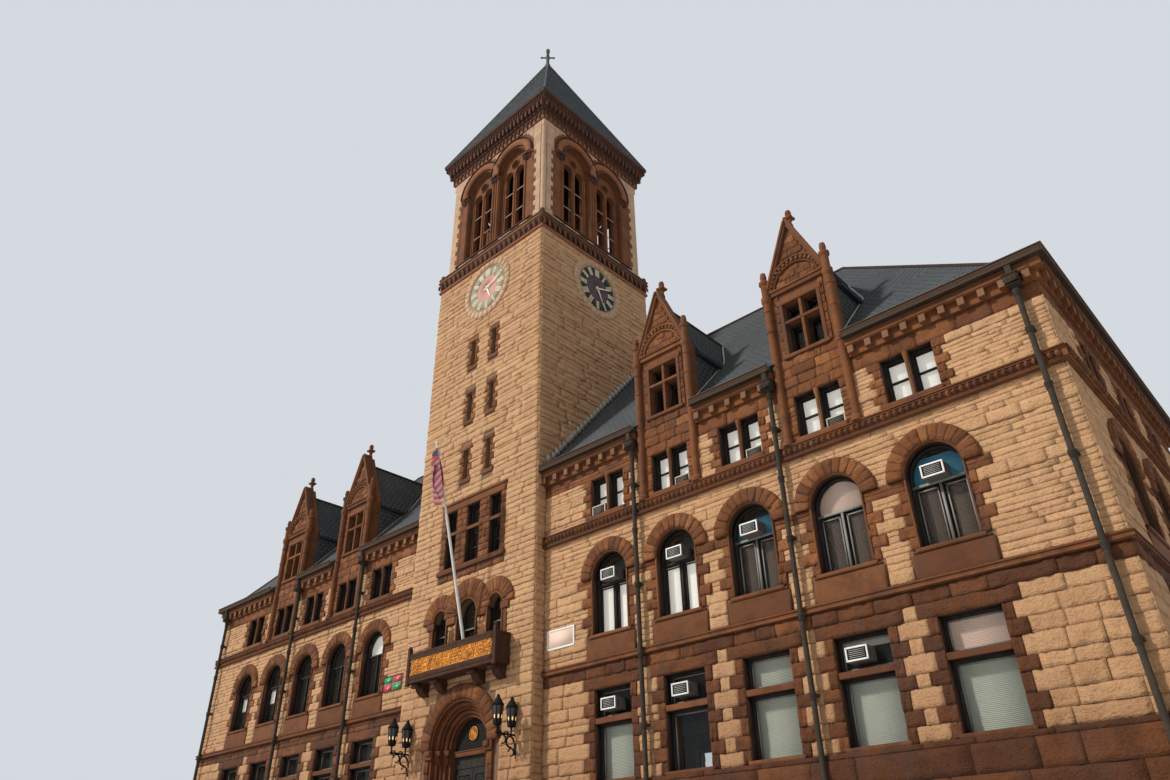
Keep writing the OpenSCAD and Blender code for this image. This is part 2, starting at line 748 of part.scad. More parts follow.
// Blocks under the upper part of the main cornice
module cornice_blocks() {
    gap = dormer_half + roof_notch + 20;
    near_pipe = hopper_half + 2;
    runs = [[tower_half + 20, pipe_x[0] - near_pipe], [dormer_x[0] + gap, pipe_x[1] - near_pipe],
        [dormer_x[1] + gap, pipe_x[2] - near_pipe]];
    y = [10 - eaves_out, -30];
    z = [wall_top - 255, wall_top - 124];
    both() for (r = runs) block_row(r[0], r[1], block_pitch, block_w, y, z);
    both() block([body_half - 20 - block_w, y[0], z[0]], [body_half - 20, y[1], z[1]]);
    translate([0, body_depth, 0]) mirror([0, 1, 0])
        block_row(20 - body_half, body_half - 20, block_pitch, block_w, y, z);
    both() translate([body_half, 0, 0]) rotate([0, 0, 90])
        block_row(60, body_depth - 60, block_pitch, block_w, y, z);
}

module main_cornice() color(brown) difference() {
    union() {
        wing_ring(wall_top - 275, wall_top - 125, 0, 60);
        wing_ring(wall_top - 125, wall_top, 0, eaves_out);
        cornice_blocks();
    }
    dormer_gaps();
    corner_joints(0, third_level, wall_top);
}

// Open gutter along the eaves
module gutters() color(brown) difference() {
    wing_ring(wall_top, wall_top + gutter_h, eaves_out, gutter_out);
    wing_ring(wall_top + 20, wall_top + gutter_h + 5, eaves_out + 10, gutter_out - 12);
    dormer_gaps();
    corner_joints(eaves_out, wall_top, wall_top + gutter_h);
}

// Rainwater pipes with hopper heads and wall brackets
module downspouts() color(grey) both() for (x = pipe_x) translate([x, 0, 0]) {
    translate([0, pipe_y, 150]) cylinder(h = wall_top - 450, r = pipe_r);
    block([-hopper_half, pipe_y - 100, wall_top - 310], [hopper_half, -65, wall_top - 130]);
    block([-40, -gutter_out + 10, wall_top - 140], [40, -eaves_out - 5, wall_top]);
    for (z = [2400, 4600, 6400]) block([-55, pipe_y, z], [55, 0, z + 40]);
}

// Brown rings round the second-floor windows
module window_arches() color(brown) {
    both() along_y(-20, 0) for (x = bay_x)
        half_ring(x, second_spring, window_half + arch_ring, window_half);
    both() along_x(body_half, body_half + 20) for (y = end_bay_y)
        half_ring(y, second_spring, window_half + arch_ring, window_half);
    along_y(body_depth, body_depth + 20) for (x = back_bay_x)
        half_ring(x, second_spring, window_half + arch_ring, window_half);
    along_y(tower_front - 20, tower_front) difference() {
        for (w = triple) half_ring(w[0], triple_spring, w[2], w[1]);
        for (w = triple) translate([w[0], triple_spring]) circle(w[1]);
    }
}

// Frame of a flat-headed light, in X and Z
module flat_frame(x, half, z0, z1) {
    difference() {
        flat_light(x, half - fit_gap, z0 + fit_gap, z1 - fit_gap);
        flat_light(x, half - frame_w, z0 + frame_w, z1 - frame_w);
    }
}

// Frame of a round-headed window with a fanlight bar and a middle post
module round_frame(x, half, z0, spring) {
    difference() {
        round_light(x, half - fit_gap, z0 + fit_gap, spring);
        round_light(x, half - frame_w, z0 + frame_w, spring);
    }
    flat_light(x, half - frame_w / 2, spring - 100 - frame_w, spring - 100);
    flat_light(x, frame_w / 2, z0 + frame_w / 2, spring - 100);
}

// The given outlines on every wing wall, between two depths behind the wall face
module on_walls(d0, d1, storey) {
    both() along_y(d0, d1) for (x = bay_x) bay_frame(x, storey);
    both() along_x(body_half - d1, body_half - d0) for (y = end_bay_y) bay_frame(y, storey);
    along_y(body_depth - d1, body_depth - d0) for (x = back_bay_x) bay_frame(x, storey);
}

// Frames of one bay on one storey
module bay_frame(x, storey) {
    if (storey == 1) {
        flat_frame(x, window_half, plinth_top + 15, transom_z);
        flat_frame(x, window_half, transom_z + 85, first_head);
    }
    if (storey == 2) round_frame(x, window_half, second_sill, second_spring);
    if (storey == 3) for (s = [-1, 1])
        flat_frame(x + s * pair_x, (window_half - mullion / 2) / 2,
            third_sill, third_head);
    if (storey == 4) offset_openings(x);
}

// Outlines of all openings of a bay, held a hair clear of the wall
module offset_openings(x) {
    g = fit_gap;
    flat_light(x, window_half - g, plinth_top + 15 + g, transom_z - g);
    flat_light(x, window_half - g, transom_z + 85 + g, first_head - g);
    round_light(x, window_half - g, second_sill + g, second_spring);
    for (s = [-1, 1])
        flat_light(x + s * pair_x, (window_half - mullion / 2) / 2 - g,
            third_sill + g, third_head - g);
}
module first_floor_window_frames() color(grey) on_walls(reveal, glass_y, 1);
module second_floor_window_frames() color(grey) on_walls(reveal, glass_y, 2);
module third_floor_window_frames() color(grey) on_walls(reveal, glass_y, 3);

// Lights of a dormer window
module dormer_lights(inset) {
    half = (dormer_window_half - mullion / 2) / 2;
    bar = dormer_bar_z;
    for (s = [-1, 1]) {
        flat_light(s * (half + mullion / 2), half - inset, dormer_sill + inset, bar - mullion / 2 - inset);
        flat_light(s * (half + mullion / 2), half - inset, bar + mullion / 2 + inset, dormer_head - inset);
    }
}

// Lights of the tower front
module tower_lights(inset) {
    for (w = triple) round_light(w[0], w[1] - inset, second_sill + inset, triple_spring);
    for (w = group_lights) flat_light(w[0], w[1] - inset, group_sill + inset, group_head - inset);
    for (r = slit_rows, s = [-1, 1]) flat_light(s * slit_x, slit_half - inset, r[0] + inset, r[1] - inset);
}

module upper_window_frames() color(grey) {
    both() along_y(reveal, reveal + 40) for (x = dormer_x) translate([x, 0]) difference() {
        dormer_lights(fit_gap);
        dormer_lights(20);
    }
    along_y(tower_front + reveal, tower_front + glass_y) difference() {
        tower_lights(fit_gap);
        tower_lights(24);
    }
}

module window_glass() color([0.35, 0.42, 0.48]) {
    on_walls(glass_y, glass_y + glass_t, 4);
    both() along_y(reveal + 40, reveal + 40 + glass_t) for (x = dormer_x) translate([x, 0]) dormer_lights(fit_gap);
    along_y(tower_front + glass_y, tower_front + glass_y + glass_t) tower_lights(fit_gap);
}

// Stepped orders of the entrance arch, with their jambs
// Entrance arch in three orders, with a colonnette and a roll in each corner between them
module entry_arch() color(brown) {
    difference() {
        along_y(tower_front - 30, tympanum_y + 40) {
            round_entry(entry_r - fit_gap, entry_half - fit_gap);
        }
        along_y(tower_front - 31, tower_front + order_depth) round_entry(order_r[0], order_r[0]);
        along_y(tower_front + order_depth - 1, tower_front + 2 * order_depth) round_entry(order_r[1], order_r[1]);
        along_y(tower_front + 2 * order_depth - 1, tympanum_y + 41) round_entry(order_r[2], door_half);
    }
    inset = colonnette_r - 4;
    for (i = [0, 1]) translate([0, tower_front + (i + 1) * order_depth - inset, 0]) {
        both() translate([order_r[i] - inset, 0, entry_level]) shaft(colonnette_r, entry_spring - entry_level);
        intersection() {
            translate([0, 0, entry_spring]) rotate([90, 0, 0]) rotate_extrude()
                translate([order_r[i] - inset, 0]) circle(colonnette_r);
            block([-entry_r, -entry_r, entry_spring - 1], [entry_r, entry_r, entry_spring + entry_r]);
        }
    }
}

// Outline of the entrance: a round head over straight jambs
module round_entry(radius, half) {
    flat_light(0, half, entry_level, entry_spring);
    intersection() {
        translate([0, entry_spring]) circle(radius);
        flat_light(0, radius, entry_spring, entry_spring + radius + 1);
    }
}

// Dark panel in the head of the arch, over a stone bar, with a rosette
module tympanum() color(iron) {
    along_y(tympanum_y, tympanum_y + 40) {
        intersection() {
            translate([0, entry_spring]) circle(order_r[2] - fit_gap);
            flat_light(0, entry_r, entry_spring, entry_spring + entry_r);
        }
        flat_light(0, door_half - fit_gap, transom_foot, entry_spring);
    }
    along_y(tympanum_y - 30, tympanum_y) flat_light(0, door_half - fit_gap, transom_foot, transom_foot + 110);
    along_y(tympanum_y - 14, tympanum_y) translate([0, entry_spring + 250]) circle(125);
}

// Frame of the doors with the glazed light over them and the hinge pins
module door_frame() color(grey) {
    along_y(tympanum_y, tympanum_y + 40) difference() {
        flat_light(0, door_half - fit_gap, entry_level, transom_foot - fit_gap);
        flat_light(0, door_half - 40, entry_level - 1, door_head);
    }
    both() {
        translate([pin_x, pin_y, entry_level]) cylinder(h = door_head - entry_level - 20, r = pin_r);
        for (z = [entry_level, door_head - 40])
        {
            block([pin_x - pin_r, pin_y - pin_r, z], [door_half - fit_gap, pin_y + pin_r, z + 16]);
            block([pin_x + pin_r + 3, pin_y, z], [door_half - fit_gap, tympanum_y, z + 16]);
        }
    }
}

// A glazed door leaf with three hinge knuckles
module leaf() {
    foot = entry_level + 8;
    head = door_head - 8;
    rise = head - foot;
    difference() {
        union() {
            block([5, leaf_y, foot], [leaf_edge, leaf_y + leaf_t, head]);
            for (i = [1 : 3]) translate([pin_x, pin_y, foot + rise * i / 4 - 40]) {
                cylinder(h = 80, r = knuckle_r);
                block([-18, 0, 0], [-4, leaf_y - pin_y + 1, 80]);
            }
        }
        translate([pin_x, pin_y, foot - 1]) cylinder(h = rise + 2, r = pin_r + 0.4);
        block([70, leaf_y - 1, foot + 520], [leaf_edge - 60, leaf_y + 10, head - 90]);
        block([70, leaf_y - 1, foot + 110], [leaf_edge - 60, leaf_y + 10, foot + 430]);
    }
}
module right_door() color(grey) leaf();
module left_door() color(grey) mirror([1, 0, 0]) leaf();

// Stone balcony on four corbels
module balcony() color(brown) {
    front = tower_front - balcony_out;
    block([-balcony_half, front, balcony_z], [balcony_half, tower_front, balcony_z + 80]);
    both() block([balcony_half - 100, front, balcony_z + 80], [balcony_half, tower_front, balcony_z + balcony_h]);
    block([-balcony_half + 100, front, balcony_z + balcony_h - 60],
        [balcony_half - 100, front + 70, balcony_z + balcony_h]);
    both() block([balcony_half - 60, front - 15, balcony_z - 30],
        [balcony_half + 15, front + 55, balcony_z + balcony_h + post_rise]);
    both() for (x = corbel_x) along_x(x - 90, x + 90) intersection() {
        translate([tower_front, balcony_z]) circle(corbel_r);
        translate([tower_front - corbel_r, balcony_z - corbel_r]) square(corbel_r);
    }
}

module balcony_panel() color(gold)
    block([-balcony_half + 100, tower_front - balcony_out + 10, balcony_z + 80],
        [balcony_half - 100, tower_front - balcony_out + 50, balcony_z + balcony_h - 60]);

module flagpole() color([0.85, 0.85, 0.82]) translate(pole_foot) {
    rotate([pole_lean, 0, 0]) {
        for (part = pole_sections) cylinder(h = part[0] + 1520, r = part[1]);
        translate([0, 0, pole_len]) sphere(36);
    }
    block([-60, -60, -pole_foot[2] + balcony_z + 80], [60, 50, 40]);
}

// The cloth hangs limp from the upper end of the pole, on its outer side
module flag() color([0.55, 0.12, 0.14]) translate(pole_foot)
    translate([-60, -pole_len * sin(pole_lean), pole_len * cos(pole_lean)])
        along_x(0, 120) polygon([[pole_side(150) - 70, -110], [pole_side(150) - 70, -flag_drop],
            [pole_side(flag_bunch) - 30, -flag_drop], [pole_side(flag_bunch), -flag_bunch],
            [pole_side(150), -150]]);

// Wall brackets that carry two lanterns each
module wall_lanterns() color(iron) both() translate([lantern_x, 0, 0]) {
    block([-30, tower_front - 20, lantern_z - 390], [30, tower_front, lantern_z + 30]);
    block([-14, tower_front - lantern_arm, lantern_z - 30], [14, tower_front - 20, lantern_z]);
    for (d = [110, lantern_arm - 30]) translate([0, tower_front - d, lantern_z]) {
        cylinder(h = 110, r = 14);
        translate([0, 0, 110]) cylinder(h = 330, r1 = 60, r2 = 90, $fn = 24);
        translate([0, 0, 440]) cylinder(h = 130, r1 = 105, r2 = 25, $fn = 24);
        translate([0, 0, 570]) sphere(r = 32, $fn = 24);
    }
}

// A dial with its stone ring and arbor, on one side of the tower
module clock_dial() {
    along_y(tower_front - 20, tower_front) translate([0, clock_z]) difference() {
        circle(clock_ring_r);
        circle(dial_r);
    }
    along_y(tower_front - dial_out + 10, tower_front) translate([0, clock_z]) circle(dial_r - fit_gap);
    along_y(tower_front - arbor_len, tower_front) translate([0, clock_z]) circle(arbor_r);
}

// A hand that points up when its angle is 0, between two distances from the dial
module hand(d0, d1, len, width, angle, bore = arbor_r + 0.4) {
    along_y(tower_front - d1, tower_front - d0) translate([0, clock_z]) rotate(-angle) difference() {
        union() {
            polygon([[-width, 0], [-width * 0.5, -len * 0.2], [width * 0.5, -len * 0.2], [width, 0],
                [width * 0.4, len * 0.86], [0, len], [-width * 0.4, len * 0.86]]);
            circle(arbor_r + 16);
        }
        circle(bore);
    }
}
module minute_hand() hand(44, 52, minute_len, 20, clock_time[0]);
module hour_hand() hand(28, 38, hour_len, 28, clock_time[1]);
module turned(a) { translate([0, tower_mid, 0]) rotate([0, 0, a]) translate([0, -tower_mid, 0]) children(); }

// The dials, with fixed hands at the back and on the left
module clock_dials() color(grey) {
    round_tower() clock_dial();
    for (a = [180, 270]) turned(a) {
        hand(44, 52, minute_len, 20, clock_time[0], arbor_r);
        hand(28, 38, hour_len, 28, clock_time[1], arbor_r);
    }
}
module front_minute_hand() color(gold) minute_hand();
module front_hour_hand() color(gold) hour_hand();
module right_minute_hand() color(gold) turned(90) minute_hand();
module right_hour_hand() color(gold) turned(90) hour_hand();

module wall_boards() color(buff) {
    for (b = boards) block([b[0], -board_t, b[2]], [b[1], 0, board_top]);
}

// Window units of the cooling plant, each reaching back to its frame or its glass
module cooler(x, z, back, front = -60) {
    block([x - cooler_half, front, z], [x + cooler_half, back - fit_gap, z + cooler_h]);
}
module air_conditioners() color([0.75, 0.75, 0.72]) {
    for (i = [0, 1, 3]) cooler(bay_x[i] - 60, transom_z + 185, glass_y);
    for (i = [0, 1, 2, 4]) cooler(bay_x[i], second_spring - 100 + fit_gap, glass_y);
    cooler(bay_x[0] - pair_x, third_sill + fit_gap, reveal, -10);
    for (i = [1, 2, 3]) cooler(bay_x[i] + pair_x, third_sill + fit_gap, reveal, 50);
}

plinth();
entry_steps();
floors();
left_front_wall();
right_front_wall();
left_end_wall();
right_end_wall();
back_wall();
entry_piers();
entry_spandrel();
tower_front_wall();
tower_side_walls();
tower_back_wall();
belfry_piers();
belfry_walls();
belfry_tracery();
belfry_sill_course();
tower_cornice();
tower_roof();
finial();
front_roof_slopes();
back_roof_slope();
end_roof_slopes();
dormer_fronts();
dormer_roofs();
sill_string_course();
upper_string_course();
main_cornice();
gutters();
downspouts();
window_arches();
first_floor_window_frames();
second_floor_window_frames();
third_floor_window_frames();
upper_window_frames();
window_glass();
entry_arch();
tympanum();
door_frame();
left_door();
right_door();
balcony();
balcony_panel();
flagpole();
flag();
wall_lanterns();
clock_dials();
front_minute_hand();
front_hour_hand();
right_minute_hand();
right_hour_hand();
wall_boards();
air_conditioners();
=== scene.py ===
"""Looks of a half-size town hall with a clock tower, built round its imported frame.

The stonework, slates, windows, mouldings and fittings are added over the fixed CAD nodes. Every size is
in metres of the half-size model, and the main levels repeat those of the part's source.
"""

import logging
import math
import random
from dataclasses import dataclass, field
from enum import Enum
from itertools import pairwise
from typing import Callable, Sequence

import bmesh
import bpy
import numpy as np
from mathutils import Matrix, Vector


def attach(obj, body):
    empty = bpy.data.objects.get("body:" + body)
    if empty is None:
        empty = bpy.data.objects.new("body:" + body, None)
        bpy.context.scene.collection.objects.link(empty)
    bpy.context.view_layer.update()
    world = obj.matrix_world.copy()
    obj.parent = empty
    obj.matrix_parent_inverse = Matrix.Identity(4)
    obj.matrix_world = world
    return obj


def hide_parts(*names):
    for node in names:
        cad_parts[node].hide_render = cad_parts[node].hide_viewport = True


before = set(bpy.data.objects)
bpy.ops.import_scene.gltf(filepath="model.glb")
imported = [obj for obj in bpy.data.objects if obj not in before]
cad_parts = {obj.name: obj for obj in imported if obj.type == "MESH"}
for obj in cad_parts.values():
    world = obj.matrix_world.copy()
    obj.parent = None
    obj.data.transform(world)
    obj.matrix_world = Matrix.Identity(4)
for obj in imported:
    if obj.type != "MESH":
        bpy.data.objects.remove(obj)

LOG = logging.getLogger("town_hall")
ROOT = "building"
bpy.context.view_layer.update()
FULL_TURN, QUARTER = 2 * math.pi, math.pi / 2
CENTRE = (0, 0, 0)

Point = tuple[float, float, float]
Pair = tuple[float, float]
BMesh = bmesh.types.BMesh
Node = bpy.types.Node
Socket = bpy.types.NodeSocket
ONE: Point = (1.0, 1.0, 1.0)


class Graph:
    """Short calls that build a shader tree."""

    def __init__(self, tree: bpy.types.NodeTree) -> None:
        """Wraps a node tree."""
        self.tree = tree

    def wire(self, node: Node, **inputs: object) -> None:
        """Links or sets a node's inputs.

        Args:
            node: the node.
            inputs: a link or a value by socket name, with underscores for spaces, or i0, i1 by number.
        """
        for key, value in inputs.items():
            numbered = key[0] == "i" and key[1:].isdigit()
            socket = node.inputs[int(key[1:]) if numbered else key.replace("_", " ")]
            if isinstance(value, Socket):
                self.tree.links.new(value, socket)
            else:
                socket.default_value = value

    def node(self, kind: str, settings: dict | None = None, **inputs: object) -> Node:
        """Adds a node of a kind, named without its ShaderNode prefix, with its properties and inputs."""
        made = self.tree.nodes.new("ShaderNode" + kind)
        for key, value in (settings or {}).items():
            setattr(made, key, value)
        self.wire(made, **inputs)
        return made

    def place(self, scale: Point = ONE) -> Socket:
        """The object coordinates, stretched where a scale is given."""
        place = self.node("TexCoord").outputs["Object"]
        return place if scale == ONE else self.node("Mapping", Vector=place, Scale=scale).outputs[0]

    def tint(self) -> Socket:
        """The shade from 0 to 1 that each stone or slate carries."""
        return self.node("Attribute", {"attribute_name": "tint"}).outputs["Fac"]

    def math(self, operation: str, a: object, b: object = 0.0, c: object = 0.0, clamp: bool = False) -> Socket:
        """One Math node's result."""
        return self.node("Math", {"operation": operation, "use_clamp": clamp}, i0=a, i1=b, i2=c).outputs[0]

    def times(self, a: object, b: object) -> Socket:
        """A product."""
        return self.math("MULTIPLY", a, b)

    def plus(self, a: object, b: object) -> Socket:
        """A sum."""
        return self.math("ADD", a, b)

    def mix(self, factor: object, a: object, b: object, blend: str = "MIX") -> Socket:
        """One colour mix's result."""
        return self.node("Mix", {"data_type": "RGBA", "blend_type": blend}, i0=factor, i6=a, i7=b).outputs[2]

    def ramp(self, value: object, low: float, high: float, to_low: float = 0.0, to_high: float = 1.0) -> Socket:
        """A value mapped from one range to another, and held within it."""
        return self.node("MapRange", {"clamp": True}, Value=value, From_Min=low, From_Max=high, To_Min=to_low,
            To_Max=to_high).outputs[0]

    def noise(self, vector: object, scale: float, detail: float = 3.0, rough: float = 0.55) -> Socket:
        """A noise texture's value."""
        return self.node("TexNoise", Vector=vector, Scale=scale, Detail=detail, Roughness=rough).outputs[0]

    def bump(self, height: Socket, strength: float, distance: float) -> Socket:
        """The normal that a height gives."""
        return self.node("Bump", Strength=strength, Distance=distance, Height=height).outputs[0]


def group(name: str, inputs: dict[str, object], outputs: dict[str, str], build: Callable[..., None]) -> None:
    """Makes a shader node group and keeps it in GROUPS.

    Args:
        name: the group's name.
        inputs: the default of each input, a number or a colour.
        outputs: the socket type of each output.
        build: fills the group from its graph, the sockets of its input node, and its output node.
    """
    tree = bpy.data.node_groups.new(name, "ShaderNodeTree")
    for label, default in inputs.items():
        kind = "NodeSocketFloat" if isinstance(default, float) else "NodeSocketColor"
        tree.interface.new_socket(label, in_out="INPUT", socket_type=kind).default_value = default
    for label, kind in outputs.items():
        tree.interface.new_socket(label, in_out="OUTPUT", socket_type="NodeSocket" + kind)
    build(Graph(tree), tree.nodes.new("NodeGroupInput").outputs, tree.nodes.new("NodeGroupOutput"))
    GROUPS[name] = tree


def fill_stone(g: Graph, into: Sequence[Socket], out: Node) -> None:
    """Weathered stone: a shade for each block, grain, stains and soot, with painted shade in the hollows and towards
    the ground.
    """
    place, tint, bedded = g.place(), g.tint(), g.place((1.0, 1.0, 1.8))
    light, dark, other, soot = (into[name] for name in ("Light", "Dark", "Other", "Soot"))
    middle, fine, chisel = (g.noise(bedded, 6.5, 5.0, 0.62), g.noise(place, 38.0, 4.0, 0.65),
        g.noise(bedded, 24.0, 3.0, 0.6))
    fold = g.math("MULTIPLY_ADD", g.noise(bedded, 13.0, 3.0, 0.6), 4.0, -2.0)
    ridge = g.math("SUBTRACT", 1.0, g.math("ABSOLUTE", fold), clamp=True)
    colour = g.mix(g.plus(g.times(tint, 0.55), g.times(g.noise(place, 0.7, 4.0), 0.45)), light, dark)
    odd_stones = g.ramp(g.math("FRACT", g.times(tint, 7.31)), 0.62, 1.0)
    colour = g.mix(g.times(odd_stones, 0.65), colour, other)
    colour = g.mix(g.ramp(middle, 0.35, 0.75, 0.0, 0.35), colour, dark)
    blotch = g.ramp(g.noise(place, 2.6, 6.0, 0.7), 0.47, 0.64, 0.0, 1.3)
    colour = g.mix(g.times(blotch, soot), colour, dark)
    # The grain's tone and a painted shade towards the ground both multiply by this colour.
    grain_and_ground_shade = (0.50, 0.43, 0.38, 1.0)
    colour = g.mix(g.ramp(fine, 0.3, 0.7, 0.45, 0.0), colour, grain_and_ground_shade, "MULTIPLY")
    # Painted shade in the hollows: darker where the ridge noise is low, which also lowers the bump there.
    colour = g.mix(g.ramp(ridge, 0.0, 0.55, 0.30, 0.0), colour, (0.42, 0.36, 0.33, 1.0), "MULTIPLY")
    streak = g.ramp(g.noise(g.place((3.2, 3.2, 0.35)), 1.6, 5.0, 0.6), 0.50, 0.78)
    colour = g.mix(g.times(streak, soot), colour, (0.07, 0.055, 0.05, 1.0))
    # Painted shade: darker towards the ground, fully below 1.7 m and fading out at 4.6 m.
    level = g.node("SeparateXYZ", Vector=place).outputs["Z"]
    colour = g.mix(g.ramp(level, 1.7, 4.6, 0.50, 0.0), colour, grain_and_ground_shade, "MULTIPLY")
    height = g.plus(g.times(middle, 0.45), g.times(ridge, 0.16))
    height = g.plus(height, g.math("MULTIPLY_ADD", chisel, 0.22, g.times(fine, 0.17)))
    g.wire(out, Colour=colour, Height=height, Roughness=g.ramp(fine, 0.2, 0.8, 0.82, 0.96))


def fill_weather(g: Graph, into: Sequence[Socket], out: Node) -> None:
    """Weather on paint and metal: patches, fine scratches and run marks."""
    run = g.ramp(g.noise(g.place((9.0, 9.0, 0.8)), 2.0, 4.0, 0.6), 0.48, 0.75)
    patch = g.ramp(g.noise(g.place(), 6.0, 5.0, 0.65), 0.42, 0.68)
    mask = g.times(g.math("MAXIMUM", run, patch), into["Amount"])
    g.wire(out, Colour=g.mix(mask, into["Colour"], into["Worn"]), Mask=mask, Height=g.noise(g.place(), 45.0, 3.0))


@dataclass(frozen=True)
class Stone:
    """A natural stone finish, with its colours in linear light."""

    light: Point
    dark: Point
    other: Point
    soot: float = 0.4
    relief: float = 0.012
    strength: float = 0.75

    def fill(self, g: Graph, shader: Node) -> None:
        """Wires the stone into a material."""
        stone = g.node("Group", {"node_tree": GROUPS["weathered_stone"]}, Light=(*self.light, 1), Dark=(*self.dark, 1),
            Other=(*self.other, 1), Soot=self.soot).outputs
        g.wire(shader, Base_Color=stone["Colour"], Roughness=stone["Roughness"], Specular_IOR_Level=0.3,
            Normal=g.bump(stone["Height"], self.strength, self.relief))


@dataclass(frozen=True)
class Paint:
    """A painted, metal or enamel finish that the weather has marked."""

    colour: Point
    worn: Point
    amount: float = 0.5
    roughness: float = 0.5
    metallic: float = 0.0
    relief: float = 0.001
    coat: float = 0.0
    # glow is an emission: real light on the lamp bulbs, painted light on the blinds, screens and the peach and teal
    # pieces.
    glow: float = 0.0

    def fill(self, g: Graph, shader: Node) -> None:
        """Wires the paint into a material."""
        wear = g.node("Group", {"node_tree": GROUPS["weather"]}, Colour=(*self.colour, 1), Worn=(*self.worn, 1),
            Amount=self.amount).outputs
        g.wire(shader, Base_Color=wear["Colour"], Metallic=self.metallic, Coat_Weight=self.coat,
            Roughness=g.ramp(wear["Mask"], 0.0, 1.0, self.roughness, min(1.0, self.roughness + 0.3)),
            Specular_IOR_Level=0.5 if self.roughness < 0.8 else 0.2, Normal=g.bump(wear["Height"], 0.4, self.relief),
            Emission_Color=(*self.colour, 1), Emission_Strength=self.glow)


@dataclass(frozen=True)
class Slate:
    """Riven slate, with a shade for each slate and pale bloom."""

    light: Point = (0.082, 0.092, 0.098)
    dark: Point = (0.048, 0.054, 0.058)
    bloom: Point = (0.115, 0.122, 0.120)

    def fill(self, g: Graph, shader: Node) -> None:
        """Wires the slate into a material."""
        place = g.place()
        fine = g.noise(place, 30.0, 4.0, 0.7)
        shade = g.plus(g.times(g.tint(), 0.28), g.times(g.noise(place, 0.45, 5.0, 0.6), 0.6))
        patch = g.ramp(g.noise(place, 1.1, 6.0, 0.7), 0.5, 0.72, 0.0, 0.5)
        g.wire(shader, Base_Color=g.mix(patch, g.mix(shade, (*self.dark, 1), (*self.light, 1)), (*self.bloom, 1)),
            Roughness=g.ramp(fine, 0.3, 0.7, 0.62, 0.80), Specular_IOR_Level=0.3, Normal=g.bump(fine, 0.4, 0.003))


@dataclass(frozen=True)
class WindowGlass:
    """Old window glass with a slight wave, clearer from in front than from the side."""

    colour: Point = (0.045, 0.055, 0.06)

    def fill(self, g: Graph, shader: Node) -> None:
        """Wires the glass into a material."""
        facing = g.node("LayerWeight", Blend=0.35).outputs["Facing"]
        g.wire(shader, Base_Color=(*self.colour, 1), Roughness=0.04, IOR=1.6, Specular_IOR_Level=0.8,
            Alpha=g.ramp(facing, 0.0, 0.9, 0.05, 0.30), Normal=g.bump(g.noise(g.place(), 2.4, 2.0), 0.025, 0.01))


@dataclass(frozen=True)
class Cloth:
    """Bunting with stripes that follow the cloth's own map, and a plain field at its upper corner."""

    stripe: Point = (0.36, 0.012, 0.024)
    # The white stripes are given as a dull pinkish grey: painted shade over the cloth.
    pale: Point = (0.32, 0.22, 0.22)
    field_colour: Point = (0.012, 0.016, 0.055)
    stripes: int = 13
    field_u: float = 0.42
    field_v: float = 7 / 13

    def fill(self, g: Graph, shader: Node) -> None:
        """Wires the cloth into a material."""
        flat = g.node("TexCoord").outputs["UV"]
        split = g.node("SeparateXYZ", Vector=flat).outputs
        parity = g.math("MODULO", g.math("FLOOR", g.times(split["Y"], float(self.stripes))), 2.0)
        inside = g.times(g.math("LESS_THAN", split["X"], self.field_u), g.math("LESS_THAN", split["Y"], self.field_v))
        colour = g.mix(inside, g.mix(parity, (*self.stripe, 1), (*self.pale, 1)), (*self.field_colour, 1))
        weave = g.node("TexWave", {"wave_type": "BANDS", "bands_direction": "DIAGONAL"}, Vector=flat,
            Scale=240.0).outputs[1]
        g.wire(shader, Base_Color=g.mix(g.times(weave, 0.18), colour, (0.25, 0.22, 0.20, 1), "MULTIPLY"),
            Roughness=0.82, Sheen_Weight=0.25, Normal=g.bump(weave, 0.25, 0.001))


